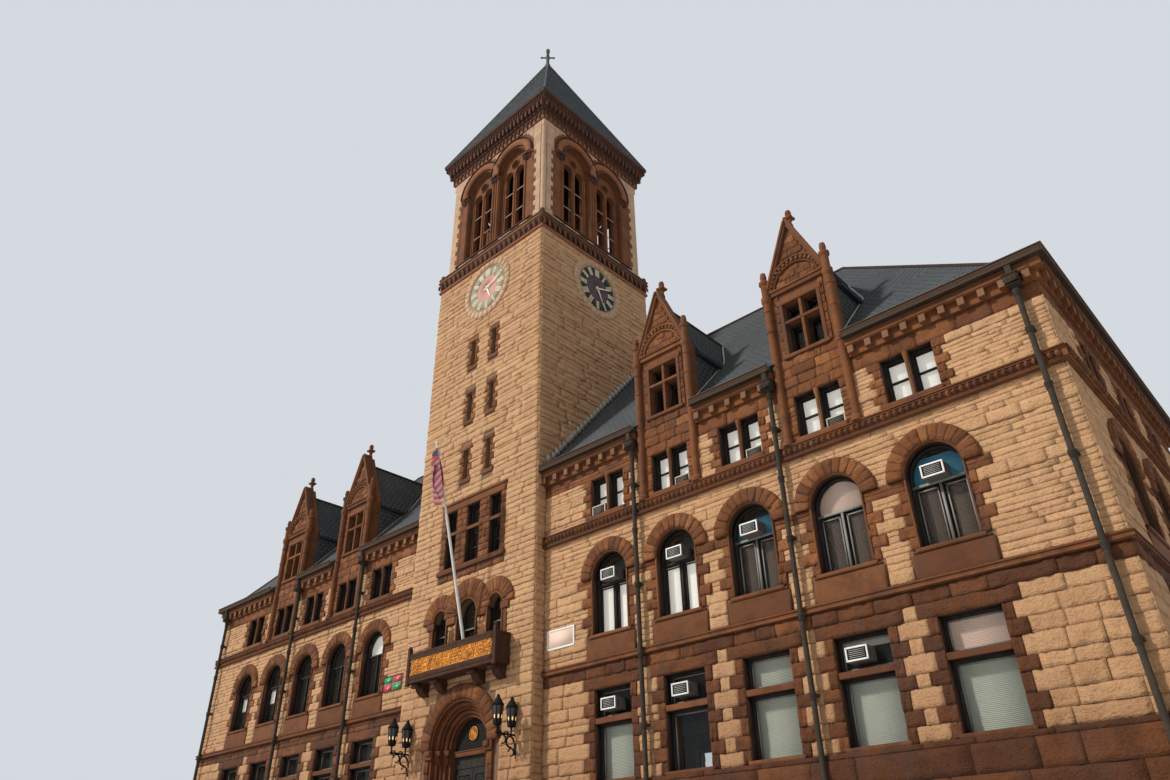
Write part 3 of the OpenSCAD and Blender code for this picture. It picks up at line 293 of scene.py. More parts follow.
class Finish(Enum):
    """Each finish: its material's name, the record's slot that it usually fills, and how it is made."""

    BUFF = ("buff_stone", "buff_stone",
        Stone((0.75, 0.455, 0.24), (0.52, 0.292, 0.145), (0.65, 0.368, 0.21), 0.2, 0.055, 1.0))
    BUFF_SMOOTH = ("smooth_buff_stone", "buff_stone",
        Stone((0.7, 0.48, 0.32), (0.47, 0.3, 0.19), (0.62, 0.41, 0.27), 0.3, 0.012, 0.8))
    BUFF_JOINT = ("buff_joint", "buff_stone",
        Stone((0.28, 0.17, 0.10), (0.20, 0.12, 0.07), (0.23, 0.13, 0.08), 0.4, 0.006))
    BUFF_PALE = ("pale_stone", "buff_stone",
        Stone((0.66, 0.43, 0.26), (0.54, 0.34, 0.2), (0.6, 0.38, 0.24), 0.3, 0.004, 0.5))
    TAN_STONE = ("tan_stone", "buff_stone",
        Stone((0.289, 0.156, 0.082), (0.187, 0.094, 0.048), (0.25, 0.129, 0.066), 0.3, 0.004, 0.5))
    BROWN = "brown_stone", "brown_stone", Stone((0.33, 0.116, 0.035), (0.11, 0.04, 0.016), (0.46, 0.185, 0.064), 0.48,
        0.055, 1.0)
    BROWN_SMOOTH = ("brown_smooth", "brown_stone",
        Stone((0.265, 0.095, 0.031), (0.1, 0.037, 0.016), (0.37, 0.148, 0.052), 0.52, 0.008, 0.7))
    BROWN_LOW = ("low_brown_stone", "brown_stone",
        Stone((0.235, 0.083, 0.027), (0.08, 0.029, 0.013), (0.34, 0.13, 0.046), 0.52, 0.055, 1.0))
    BROWN_WARM = ("warm_brown_stone", "brown_stone",
        Stone((0.37, 0.142, 0.06), (0.2, 0.072, 0.032), (0.45, 0.185, 0.082), 0.36, 0.006, 0.6))
    BROWN_DEEP = "shaded_brown_stone", "brown_stone", Stone((0.062, 0.026, 0.015), (0.03, 0.014, 0.01),
        (0.08, 0.034, 0.02), 0.4, 0.006, 0.6)
    # Dark brown for parts in shadow: the belfry course, the tower cornice, the belfry capitals, hoods and eaves lines,
    # and the band behind the knobs. The darkness is painted shade.
    BROWN_DARK = ("painted_shade_brown", "brown_stone",
        Stone((0.135, 0.052, 0.028), (0.055, 0.024, 0.016), (0.18, 0.072, 0.038), 0.55, 0.006, 0.7))
    RED = "red_paint", "board_paint", Paint((0.48, 0.03, 0.055), (0.30, 0.03, 0.04), 0.3, 0.5)
    GREEN = "green_paint", "board_paint", Paint((0.02, 0.24, 0.075), (0.02, 0.14, 0.05), 0.3, 0.5)
    # Peach glows, painted light, on the bare board, the pale strips of the belfry course and the peach slats; the
    # peach slats also stand for a painted reflection of the sky.
    PEACH = "glowing_peach", "board_paint", Paint((0.72, 0.53, 0.43), (0.62, 0.46, 0.37), 0.3, 0.8, glow=0.15)
    # Teal slats in some round heads: a painted reflection of the sky, which also glows.
    TEAL = "teal_painted_reflection", "board_paint", Paint((0.045, 0.20, 0.29), (0.03, 0.13, 0.20), 0.4, 0.8, glow=0.15)
    # The blind and the screen glow: painted light on the slats behind the glass.
    BLIND = "blind", "board_paint", Paint((0.94, 0.91, 0.84), (0.86, 0.82, 0.74), 0.3, 0.85, glow=0.36)
    SCREEN = "window_screen", "board_paint", Paint((0.50, 0.52, 0.43), (0.42, 0.43, 0.36), 0.35, 0.85, glow=0.08)
    SHADE = "brown_shade", "board_paint", Paint((0.15, 0.105, 0.075), (0.10, 0.072, 0.052), 0.4, 0.85)
    BOARD = "board_paint", "board_paint", Paint((0.74, 0.73, 0.70), (0.55, 0.53, 0.49), 0.3, 0.55)
    BALCONY = ("dark_brown_paint", "brown_stone",
        Paint((0.050, 0.023, 0.013), (0.105, 0.050, 0.028), 0.6, 0.85, 0.0, 0.003))
    DARK = "dark_panel", "brown_stone", Paint((0.010, 0.009, 0.008), (0.024, 0.020, 0.018), 0.4, 0.85)
    SLATE = "slate", "slate", Slate()
    SLATE_BED = "slate_bed", "slate", Paint((0.03, 0.035, 0.04), (0.06, 0.06, 0.06), 0.4, 0.8)
    COPPER = "gutter_copper", "gutter_copper", Paint((0.040, 0.025, 0.018), (0.080, 0.052, 0.036), 0.6, 0.9)
    TAN = "tan_paint", "gutter_copper", Paint((0.150, 0.094, 0.060), (0.060, 0.040, 0.028), 0.6, 0.9)
    PATINA = "patina", "gutter_copper", Paint((0.085, 0.085, 0.068), (0.045, 0.042, 0.036), 0.5, 0.7)
    PIPE = "pipe_paint", "pipe_paint", Paint((0.040, 0.032, 0.024), (0.095, 0.072, 0.052), 0.5, 0.9)
    LEAD = "weathered_lead", "pipe_paint", Paint((0.40, 0.385, 0.34), (0.20, 0.19, 0.165), 0.6, 0.55)
    WINDOW = "window_paint", "window_paint", Paint((0.022, 0.020, 0.018), (0.075, 0.066, 0.056), 0.45, 0.85)
    WINDOW_PALE = "window_pale", "window_paint", Paint((0.25, 0.24, 0.215), (0.13, 0.12, 0.105), 0.5, 0.5)
    GLASS = "window_glass", "window_glass", WindowGlass()
    GOLD = "gilding", "gilding", Paint((0.80, 0.34, 0.055), (0.20, 0.075, 0.02), 0.8, 0.40, 0.7, 0.002)
    FIGURE = "clock_figures", "gilding", Paint((0.82, 0.72, 0.50), (0.52, 0.42, 0.25), 0.4, 0.45)
    DIAL = "clock_face", "clock_face", Paint((0.60, 0.33, 0.27), (0.42, 0.22, 0.19), 0.5, 0.8)
    DIAL_DARK = "dark_clock_face", "clock_face", Paint((0.115, 0.066, 0.088), (0.070, 0.042, 0.058), 0.6, 0.8)
    RIM_PALE = "pale_clock_band", "clock_face", Paint((0.33, 0.31, 0.23), (0.22, 0.20, 0.15), 0.5, 0.8)
    RIM_DARK = "dark_clock_band", "clock_face", Paint((0.040, 0.042, 0.034), (0.022, 0.022, 0.020), 0.6, 0.8)
    IRON = "black_iron", "black_iron", Paint((0.008, 0.008, 0.008), (0.024, 0.020, 0.018), 0.35, 0.85)
    PANE = "smoked_glass", "black_iron", Paint((0.030, 0.026, 0.020), (0.018, 0.016, 0.013), 0.4, 0.35, coat=0.2)
    LAMP = "lamp_glass", "black_iron", Paint((0.95, 0.66, 0.30), (0.80, 0.54, 0.24), 0.3, 0.15, coat=0.4, glow=0.6)
    POLE = "pole_paint", "pole_paint", Paint((0.74, 0.72, 0.68), (0.45, 0.42, 0.38), 0.4, 0.45)
    FLAG = "flag_cloth", "flag_cloth", Cloth()
    CASE = "cooler_case", "cooler_case", Paint((0.76, 0.76, 0.73), (0.50, 0.47, 0.41), 0.35, 0.45)
    CASE_DULL = "dull_enamel", "cooler_case", Paint((0.46, 0.41, 0.33), (0.34, 0.28, 0.21), 0.4, 0.55)
    CASE_DARK = "dark_cooler_case", "cooler_case", Paint((0.17, 0.145, 0.12), (0.10, 0.085, 0.07), 0.4, 0.6)
    FLOOR = "floor_timber", "floor_timber", Paint((0.20, 0.14, 0.09), (0.12, 0.09, 0.06), 0.5, 0.7)

    def __init__(self, label: str, slot: str, recipe: Stone | Paint | Slate | WindowGlass | Cloth) -> None:
        """Keeps what a member's row says."""
        self.label, self.slot, self.recipe = label, slot, recipe


GROUPS: dict[str, bpy.types.NodeTree] = {}
MATERIALS: dict[Finish, bpy.types.Material] = {}
NODE_FINISH: dict[Finish, str] = {
    Finish.BROWN_DARK: "belfry_sill_course tower_cornice",
    Finish.BROWN_SMOOTH: "plinth dormer_fronts window_arches sill_string_course upper_string_course main_cornice "
        "entry_arch belfry_walls belfry_tracery",
    Finish.BUFF_JOINT: "entry_piers entry_spandrel tower_front_wall tower_side_walls tower_back_wall left_front_wall "
        "right_front_wall left_end_wall right_end_wall back_wall",
    Finish.SLATE_BED: "tower_roof front_roof_slopes back_roof_slope end_roof_slopes dormer_roofs",
    Finish.WINDOW: "first_floor_window_frames second_floor_window_frames third_floor_window_frames "
        "upper_window_frames "
        "door_frame left_door right_door",
    Finish.FIGURE: "front_minute_hand front_hour_hand right_minute_hand right_hour_hand",
    Finish.BUFF: "entry_steps", Finish.BUFF_SMOOTH: "belfry_piers", Finish.PATINA: "finial", Finish.BALCONY: "balcony",
    Finish.GOLD: "balcony_panel", Finish.COPPER: "gutters", Finish.PIPE: "downspouts", Finish.GLASS: "window_glass",
    Finish.DARK: "tympanum", Finish.POLE: "flagpole", Finish.FLAG: "flag", Finish.IRON: "wall_lanterns",
    Finish.LEAD: "clock_dials", Finish.BOARD: "wall_boards", Finish.CASE_DARK: "air_conditioners",
    Finish.FLOOR: "floors"}


def build_materials() -> None:
    """Makes the node groups and one material for each finish, and gives every CAD node its own."""
    grey = (0.5, 0.5, 0.5, 1)
    group("weathered_stone", {"Light": grey, "Dark": grey, "Other": grey, "Soot": 0.4},
        {"Colour": "Color", "Height": "Float", "Roughness": "Float"}, fill_stone)
    group("weather", {"Colour": grey, "Worn": grey, "Amount": 0.5},
        {"Colour": "Color", "Mask": "Float", "Height": "Float"}, fill_weather)
    for finish in Finish:
        material = MATERIALS[finish] = bpy.data.materials.new(finish.label)
        material.use_nodes = True
        finish.recipe.fill(Graph(material.node_tree), material.node_tree.nodes["Principled BSDF"])
    for finish, names in NODE_FINISH.items():
        for name in names.split():
            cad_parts[name].data.materials.clear()
            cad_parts[name].data.materials.append(MATERIALS[finish])


def dress(obj: bpy.types.Object, finish: Finish, body: str = ROOT, smooth: float | None = None) -> None:
    """Links a finished object, gives it its material, and lets it ride on a body.

    Args:
        obj: the new object, at the origin.
        finish: its material.
        body: the body that it moves with.
        smooth: the angle in degrees above which edges stay sharp, or None for flat faces.
    """
    bpy.context.scene.collection.objects.link(obj)
    obj.data.materials.append(MATERIALS[finish])
    if smooth is not None:
        obj.data.polygons.foreach_set("use_smooth", [True] * len(obj.data.polygons))
        obj.data.set_sharp_from_angle(angle=math.radians(smooth))
    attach(obj, body)
    LOG.info("%s: %d faces on %s", obj.name, len(obj.data.polygons), body)


@dataclass(frozen=True)
class Wall:
    """A wall face with its own flat frame: u along the wall, v up and w outwards.

    Args:
        origin: the point at u = v = w = 0.
        outward: the horizontal direction that the face looks in.
    """

    origin: Point
    outward: Pair

    def basis(self) -> Matrix:
        """The matrix from (u, v, w) to the object's frame."""
        out, up = Vector((*self.outward, 0.0)), Vector((0.0, 0.0, 1.0))
        matrix = Matrix((up.cross(out), up, out)).transposed().to_4x4()
        matrix.translation = Vector(self.origin)
        return matrix

    def at(self, u: float, v: float, w: float = 0.0, size: Point = ONE, turn: float = 0.0) -> Matrix:
        """The matrix of a piece at u, v and w, scaled along them and turned about w."""
        local = Matrix.Translation((u, v, w)) @ Matrix.Rotation(turn, 4, "Z")
        return self.basis() @ local @ Matrix.Diagonal((*size, 1.0))


class Shapes:
    """Small meshes that the heaps repeat, kept as arrays of points, face corners and face sizes."""

    def __init__(self) -> None:
        """Starts with no shapes."""
        self.store: dict[str, tuple[np.ndarray, np.ndarray, np.ndarray]] = {}

    def make(self, name: str, builder: Callable[[], BMesh]) -> str:
        """Stores what builder makes, unless the name is there already, and gives the name back."""
        if name not in self.store:
            bm = builder()
            bm.verts.index_update()
            self.store[name] = (np.array([v.co[:] for v in bm.verts], float).reshape(-1, 3),
                np.array([v.index for f in bm.faces for v in f.verts], int),
                np.array([len(f.verts) for f in bm.faces], int))
            bm.free()
        return name

    def arch(self, name: str, radius: float, outline: Sequence[Pair], steps: int, sweep: float = math.pi) -> str:
        """Stores a moulding bent round an arch."""
        return self.make(name, lambda: arch_moulding(radius, outline, steps, sweep))

    def turn(self, name: str, profile: Sequence[Pair], steps: int, flat: bool = False) -> str:
        """Stores a turned piece."""
        return self.make(name, lambda: turned_piece(profile, steps, flat))


SHAPES = Shapes()


class Pile:
    """A heap of copies of a few small meshes, joined into one piece.

    Args:
        name: the piece's name.
        finish: its material.
        smooth: the angle in degrees above which edges stay sharp, or None for flat faces.
        slot: the record's material slot, where it isn't the finish's usual one; kept on the heap but not used.
        body: the body that it rides on.
    """

    def __init__(self, name: str, finish: Finish, smooth: float | None, slot: str | None, body: str) -> None:
        """Starts an empty heap."""
        self.name, self.finish, self.smooth, self.slot, self.body = name, finish, smooth, slot or finish.slot, body
        self.copies: dict[str, list[tuple[Matrix, float]]] = {}

    def add(self, shape: str, matrix: Matrix, tint: float | None = None) -> None:
        """Puts a copy of a named shape in the heap, with its own shade from 0 to 1."""
        self.copies.setdefault(shape, []).append((matrix, random.random() if tint is None else tint))

    def put(self, shape: str, wall: Wall, u: float, v: float, w: float = 0.0, size: Point = ONE, turn: float = 0.0,
            tint: float | None = None) -> None:
        """Puts a copy of a named shape on a wall."""
        self.add(shape, wall.at(u, v, w, size, turn), tint)

    def block(self, wall: Wall, u: float, v: float, w: float, wide: float, tall: float, out: float,
            turn: float = 0.0) -> None:
        """Puts a block with eased edges on a wall, centred on u and v and standing out from w."""
        self.put("eased", wall, u, v, w, (wide, tall, out), turn)

    def plate(self, wall: Wall, u: float, v: float, w: float, wide: float, tall: float, out: float,
            tint: float | None = None) -> None:
        """Puts a sharp-edged plate or bar on a wall, centred on u and v and standing out from w."""
        self.put("plain", wall, u, v, w, (wide, tall, out), 0.0, tint)

    def build(self) -> None:
        """Joins the copies into one mesh object that rides on its body."""
        points, loops, sizes, tints, base = [], [], [], [], 0
        for shape, copies in self.copies.items():
            co, corner, totals = SHAPES.store[shape]
            matrices = np.array([np.array(m, float) for m, _ in copies])
            placed = np.einsum("nij,kj->nki", matrices[:, :3, :3], co) + matrices[:, None, :3, 3]
            points.append(placed.reshape(-1, 3))
            loops.append((corner[None, :] + base + np.arange(len(copies))[:, None] * len(co)).ravel())
            sizes.append(np.tile(totals, len(copies)))
            tints.append(np.repeat(np.array([t for _, t in copies]), len(co)))
            base += len(copies) * len(co)
        if not points:
            return
        mesh = bpy.data.meshes.new(self.name)
        co, corner, totals = np.concatenate(points), np.concatenate(loops), np.concatenate(sizes)
        mesh.vertices.add(len(co))
        mesh.vertices.foreach_set("co", co.astype(np.float32).ravel())
        mesh.loops.add(len(corner))
        mesh.loops.foreach_set("vertex_index", corner.astype(np.int32))
        mesh.polygons.add(len(totals))
        mesh.polygons.foreach_set("loop_start", (np.cumsum(totals) - totals).astype(np.int32))
        tint = mesh.attributes.new("tint", "FLOAT", "POINT")
        tint.data.foreach_set("value", np.concatenate(tints).astype(np.float32))
        mesh.update(calc_edges=True)
        mesh.validate()
        dress(bpy.data.objects.new(self.name, mesh), self.finish, self.body, self.smooth)


class Part:
    """A sub-assembly that fills heaps and then builds them."""

    heaps: list[Pile]
    wall: Wall
    trim: Pile

    def heap(self, name: str, finish: Finish, smooth: float | None = None, slot: str | None = None,
            body: str = ROOT) -> Pile:
        """Starts a heap that is built with the rest."""
        self.heaps.append(Pile(name, finish, smooth, slot, body))
        return self.heaps[-1]

    def slab(self, u: float, v: float, wide: float, tall: float, out: float) -> None:
        """A smooth dressed stone of the part's own trim on its own wall."""
        self.trim.block(self.wall, u, v, 0.0, wide, tall, out)

    def build(self) -> None:
        """Does the work, then builds the heaps."""
        self.heaps = []
        self.work()
        for heap in self.heaps:
            heap.build()


def bar(inner: float, outer: float, foot: float, top: float) -> list[Pair]:
    """A square section, as radius and height of each corner."""
    return [(inner, foot), (inner, top), (outer, top), (outer, foot)]


def roll(inner: float, outer: float, foot: float, side: float, peak: Pair) -> list[Pair]:
    """The section of a roll: straight sides from a foot up to a level, and a peak between them."""
    return [(inner, foot), (inner, side), peak, (outer, side), (outer, foot)]


def moved_verts(made: dict) -> list[bmesh.types.BMVert]:
    """The points that an extrusion made."""
    return [g for g in made["geom"] if isinstance(g, bmesh.types.BMVert)]


def rock_block(seed: int, across: int, up: int) -> BMesh:
    """A rock-faced stone one unit square and one deep, with its back open.

    Args:
        seed: which of the rough faces to make.
        across, up: cells along the face and up it.

    Returns:
        The stone, standing on w = 0 with its face towards +w.
    """
    rng = random.Random(seed)
    bm = bmesh.new()
    bmesh.ops.create_grid(bm, x_segments=across, y_segments=up, size=0.5)
    ledge = [rng.uniform(0.38, 1.0) for _ in range(across + 1)]
    crest = [rng.uniform(0.28, 0.80) for _ in range(across + 1)]
    swell = rng.uniform(-0.05, 0.30)
    for v in bm.verts:
        column, rise = round((v.co.x + 0.5) * across), v.co.y + 0.5
        height = ledge[column] + (crest[column] - ledge[column]) * rise + swell * math.sin(math.pi * rise)
        if min(0.5 - abs(v.co.x), 0.5 - abs(v.co.y)) < 1e-4:
            height -= 0.08 if abs(v.co.x) > 0.4999 else 0.0
        else:
            height += rng.uniform(-0.32, 0.32)
            v.co.x += rng.uniform(-0.42, 0.42) / across
            v.co.y += rng.uniform(-0.38, 0.38) / up
        v.co.z = min(1.0, max(0.16, height))
    for v in moved_verts(bmesh.ops.extrude_edge_only(bm, edges=[e for e in bm.edges if e.is_boundary])):
        v.co.z = 0.0
    bmesh.ops.recalc_face_normals(bm, faces=bm.faces)
    if sum(f.normal.z for f in bm.faces) < 0:
        bmesh.ops.reverse_faces(bm, faces=bm.faces)
    return bm


def wedge_stone(seed: int, inner: float, outer: float, sweep: float) -> BMesh:
    """A rough wedge stone of an arch centred on u = v = 0, pointing up, one deep."""
    bm = rock_block(seed, 3, 4)
    for v in bm.verts:
        radius = inner + 0.003 + (v.co.y + 0.5) * (outer - inner - 0.006)
        angle = QUARTER - v.co.x * sweep
        v.co.x, v.co.y = radius * math.cos(angle), radius * math.sin(angle)
    return bm


def smooth_wedge(inner: float, outer: float, sweep: float, steps: int = 3) -> BMesh:
    """A smooth wedge of a round, one deep, pointing up."""
    bm = bmesh.new()
    angles = [QUARTER - sweep / 2 + sweep * i / steps for i in range(steps + 1)]
    ends = [(inner, a) for a in angles] + [(outer, a) for a in reversed(angles)]
    face = bm.faces.new([bm.verts.new((r * math.cos(a), r * math.sin(a), 0)) for r, a in ends])
    bmesh.ops.translate(bm, vec=(0, 0, 1), verts=moved_verts(bmesh.ops.extrude_face_region(bm, geom=[face])))
    bmesh.ops.recalc_face_normals(bm, faces=bm.faces)
    return bm


def dressed_block(size: Point, bevel: float = 0.0) -> BMesh:
    """A smooth block centred in u and v with its back on w = 0, its front edges eased where a bevel is given."""
    bm = bmesh.new()
    bmesh.ops.create_cube(bm, size=1.0)
    bmesh.ops.scale(bm, vec=size, verts=bm.verts)
    bmesh.ops.translate(bm, vec=(0.0, 0.0, size[2] / 2), verts=bm.verts)
    if bevel:
        edges = [e for e in bm.edges if not all(abs(v.co.z) < 1e-6 for v in e.verts)]
        bmesh.ops.bevel(bm, geom=edges, offset=bevel, offset_type="OFFSET", segments=1, profile=0.5, affect="EDGES",
            clamp_overlap=True, material=-1)
    return bm


def turned_piece(profile: Sequence[Pair], steps: int, flat: bool) -> BMesh:
    """A piece turned from its section.

    Args:
        profile: radius and height of each point, from the foot up.
        steps: sides of the round.
        flat: whether it is a ring turned about w, open at its back, or else a closed piece that stands along v.

    Returns:
        The piece, centred on its axis.
    """
    bm = bmesh.new()
    verts = [bm.verts.new((r, 0.0, h) if flat else (r, h, 0.0)) for r, h in profile]
    edges = [bm.edges.new(pair) for pair in pairwise(verts)]
    bmesh.ops.spin(bm, geom=verts + edges, cent=CENTRE, axis=(0, 0, 1) if flat else (0, 1, 0), angle=FULL_TURN,
        steps=steps, use_merge=True)
    bmesh.ops.remove_doubles(bm, verts=bm.verts, dist=1e-5)
    if not flat:
        bmesh.ops.holes_fill(bm, edges=[e for e in bm.edges if e.is_boundary], sides=0)
    bmesh.ops.recalc_face_normals(bm, faces=bm.faces)
    return bm


def arch_moulding(radius: float, outline: Sequence[Pair], steps: int, sweep: float) -> BMesh:
    """A moulding bent round an arch centred on u = v = 0, from +u.

    Args:
        radius: where the section's own zero lies.
        outline: radial offset and w of each point of its section.
        steps: pieces of the round.
        sweep: the angle that it covers.

    Returns:
        The moulding, closed at its ends or round the full turn.
    """
    bm = bmesh.new()
    verts = [bm.verts.new((radius + r, 0.0, w)) for r, w in outline]
    face = bm.faces.new(verts)
    edges = list(face.edges)
    if sweep == FULL_TURN:
        bmesh.ops.delete(bm, geom=[face], context="FACES_ONLY")
        bmesh.ops.spin(bm, geom=verts + edges, cent=CENTRE, axis=(0, 0, 1), angle=sweep, steps=steps, use_merge=True)
        bmesh.ops.remove_doubles(bm, verts=bm.verts, dist=1e-5)
    else:
        bmesh.ops.spin(bm, geom=[face, *edges, *verts], cent=CENTRE, axis=(0, 0, 1), angle=sweep, steps=steps)
        inner = [f for f in bm.faces if f.calc_area() > 0 and all(len(e.link_faces) > 2 for e in f.edges)]
        bmesh.ops.delete(bm, geom=inner, context="FACES_ONLY")
    bmesh.ops.recalc_face_normals(bm, faces=bm.faces)
    return bm


def slate_shape() -> BMesh:
    """A slate one unit square, lying at a slight tilt, thick at its lower edge and without a back."""
    bm = bmesh.new()
    low = [bm.verts.new((x, -0.5, z)) for x, z in ((-0.5, 0.0), (-0.5, 1.0), (0.5, 1.0), (0.5, 0.0))]
    high = [bm.verts.new((x, 0.62, 0.0)) for x in (-0.5, 0.5)]
    for face in ((low[0], low[3], low[2], low[1]), (low[1], low[2], high[1], high[0]), (low[0], low[1], high[0]),
            (low[2], low[3], high[1])):
        bm.faces.new(face)
    return bm


def leaf_shape() -> BMesh:
    """A curled leaf of a carved band, one unit wide and high, standing one unit out."""
    bm = bmesh.new()
    rows = []
    for v, w in ((-0.5, 0.2), (-0.2, 0.85), (0.15, 1.0), (0.5, 0.55)):
        wide = 0.46 * math.sin(math.pi * (0.15 + 0.7 * (v + 0.5)))
        rows.append([bm.verts.new((wide * part, v, w * rise))
            for part, rise in ((-1, 0.35), (-0.4, 0.8), (0, 1), (0.4, 0.8), (1, 0.35))])
    for a, b in pairwise(rows):
        for i in range(4):
            bm.faces.new((a[i], a[i + 1], b[i + 1], b[i]))
    return bm


def bud_shape() -> BMesh:
    """A round knob of a carved band, one unit wide and high, with its back open."""
    bm = bmesh.new()
    bmesh.ops.create_uvsphere(bm, u_segments=8, v_segments=6, radius=0.5)
    bmesh.ops.scale(bm, vec=(1.0, 1.0, 2.0), verts=bm.verts)
    bmesh.ops.bisect_plane(bm, geom=[*bm.verts, *bm.edges, *bm.faces], plane_co=CENTRE, plane_no=(0, 0, 1),
        clear_inner=True)
    return bm


def slat_shape() -> BMesh:
    """A nearly closed slat of a blind, one unit long."""
    bm = dressed_block((1.0, 0.0225, 0.0012))
    bmesh.ops.rotate(bm, cent=CENTRE, matrix=Matrix.Rotation(math.radians(24), 3, "X"), verts=bm.verts)
    return bm


ROUGH_FACES = 12
ROD = [(1.0, -0.5), (1.0, 0.5)]


def make_shapes() -> None:
    """Makes the small shapes that many heaps share."""
    for i in range(ROUGH_FACES):
        SHAPES.make(f"rock{i}", lambda: rock_block(i, 7, 4))
        SHAPES.make(f"chip{i}", lambda: rock_block(i + 20, 6, 3))
    for name, builder in (("slate", slate_shape), ("leaf", leaf_shape), ("bud", bud_shape), ("slat", slat_shape),
            ("plain", lambda: dressed_block(ONE)), ("eased", lambda: dressed_block(ONE, 0.04))):
        SHAPES.make(name, builder)
    SHAPES.turn("rod", ROD, 8)


def rod(a: Point, b: Point, radius: float) -> Matrix:
    """The matrix that stretches a unit rod along v between two points."""
    start, end = Vector(a), Vector(b)
    way = end - start
    turn = Vector((0, 1, 0)).rotation_difference(way.normalized()).to_matrix().to_4x4()
    return Matrix.Translation((start + end) / 2) @ turn @ Matrix.Diagonal((radius, way.length, radius, 1.0))


def stood(place: Sequence[float], size: Point = ONE, spin: float = 0.0, tip: float = QUARTER) -> Matrix:
    """The matrix that tips a piece about x, usually until its v points up, and spins it about z at a place."""
    return (Matrix.Translation(place) @ Matrix.Rotation(spin, 4, "Z") @ Matrix.Rotation(tip, 4, "X")
        @ Matrix.Diagonal((*size, 1.0)))


HALF, DEPTH = 11.27, 6.8
TOWER_HALF, TOWER_FRONT, TOWER_MID, TOWER_BACK = 1.9, -0.245, 1.655, 3.555
TOWER_RUN = (-TOWER_HALF, TOWER_HALF)
WINDOW_HALF, RING_OUT = 0.392, 0.654
PLINTH_TOP, FIRST_BAR, FIRST_HEAD, SECOND, SECOND_SILL, SECOND_SPRING = 1.685, 2.6175, 3.11, 3.6, 4.0, 5.0
STRING_FOOT, THIRD, THIRD_SILL, THIRD_HEAD, WALL_TOP = 5.86, 6.075, 6.16, 6.9, 7.425
CLOCK, BELT_FOOT = 13.05, 13.945
BAYS = [3.53 + 1.455 * i for i in range(5)]
END_BAYS = (1.7, 3.4, 5.1)
BACK_MIDDLES = (0.706, 2.118)
DORMERS = [BAYS[1], BAYS[3]]
ALL_DORMERS = (*DORMERS, *[-c for c in DORMERS])
DORMER_HALF, DORMER_SILL, DORMER_BAR, DORMER_HEAD = 0.56, 7.66, 8.292, 8.665
EAVES, EAVES_OUT, KINK, KINK_IN, RIDGE, RIDGE_IN = 7.535, 0.14, 7.825, 0.2, 11.575, 3.4
COMPASS = ((0, -1), (1, 0), (0, 1), (-1, 0))
FRONT, RIGHT_END = Wall((0.0, 0.0, 0.0), (0, -1)), Wall((HALF, 0.0, 0.0), (1, 0))
LEFT_END, BACK = Wall((-HALF, DEPTH, 0.0), (-1, 0)), Wall((HALF, DEPTH, 0.0), (0, 1))


def tower_wall(out: Pair, half: float = TOWER_HALF) -> Wall:
    """The wall of a square tower stage that looks in one direction."""
    return Wall((out[0] * half, TOWER_MID + out[1] * half, 0.0), out)


TOWER_SIDES = {side: tower_wall(COMPASS[i]) for side, i in (("front", 0), ("right", 1), ("left", 3), ("back", 2))}


def courses(low: float, high: float, count: int) -> list[float]:
    """The levels of a number of equal courses."""
    return [low + (high - low) * i / count for i in range(count + 1)]


def uneven_courses(low: float, high: float, count: int, spread: float = 0.30) -> list[float]:
    """The levels of a number of courses of mixed heights, the same on every call."""
    rng = random.Random(count)
    step = (high - low) / count
    return [low, *(v + rng.uniform(-spread, spread) * step for v in courses(low, high, count)[1:-1]), high]


def chord(radius: float, off: float) -> float:
    """Half of a circle's width at a distance from its centre, or 0 outside it."""
    return math.sqrt(max(0.0, radius ** 2 - off ** 2))


@dataclass(frozen=True)
class Hole:
    """A hole in a wall, or a piece of work of another stone that interrupts its courses.

    Args:
        u, half: its middle along the wall and half of its width.
        foot, head: its foot, and its flat head or springing.
        ring: the outer radius of its arch ring, or 0 for a flat head.
        teeth: widths of the jamb stones, which alternate from course to course.
    """

    u: float
    half: float
    foot: float
    head: float
    ring: float = 0.0
    teeth: Pair | None = None

    def span(self, low: float, high: float) -> Pair | None:
        """What the hole itself takes out of a course."""
        if high <= self.foot + 1e-4 or (not self.ring and low >= self.head - 1e-4):
            return None
        if low < self.head - 1e-4:
            return self.u - self.half, self.u + self.half
        rise = low - self.head
        if rise >= self.ring - 0.01:
            return None
        reach = max(chord(self.ring, high - self.head), chord(self.half + 0.05, rise))
        return (self.u - reach, self.u + reach) if reach > 0.02 else None


@dataclass(frozen=True)
class Disc:
    """A round piece of work that interrupts the courses, such as a dial, with the courses run in under its rim."""

    u: float
    v: float
    radius: float
    teeth: Pair | None = None

    def span(self, low: float, high: float) -> Pair | None:
        """What the disc takes out of a course."""
        near = 0.0 if low <= self.v <= high else min(abs(low - self.v), abs(high - self.v))
        far = max(abs(low - self.v), abs(high - self.v))
        if near >= self.radius * 0.8:
            return None
        reach = max(chord(self.radius, far), chord(self.radius * 0.8, near))
        return self.u - reach, self.u + reach


CLOCK_DISC = Disc(0.0, CLOCK, 0.84)


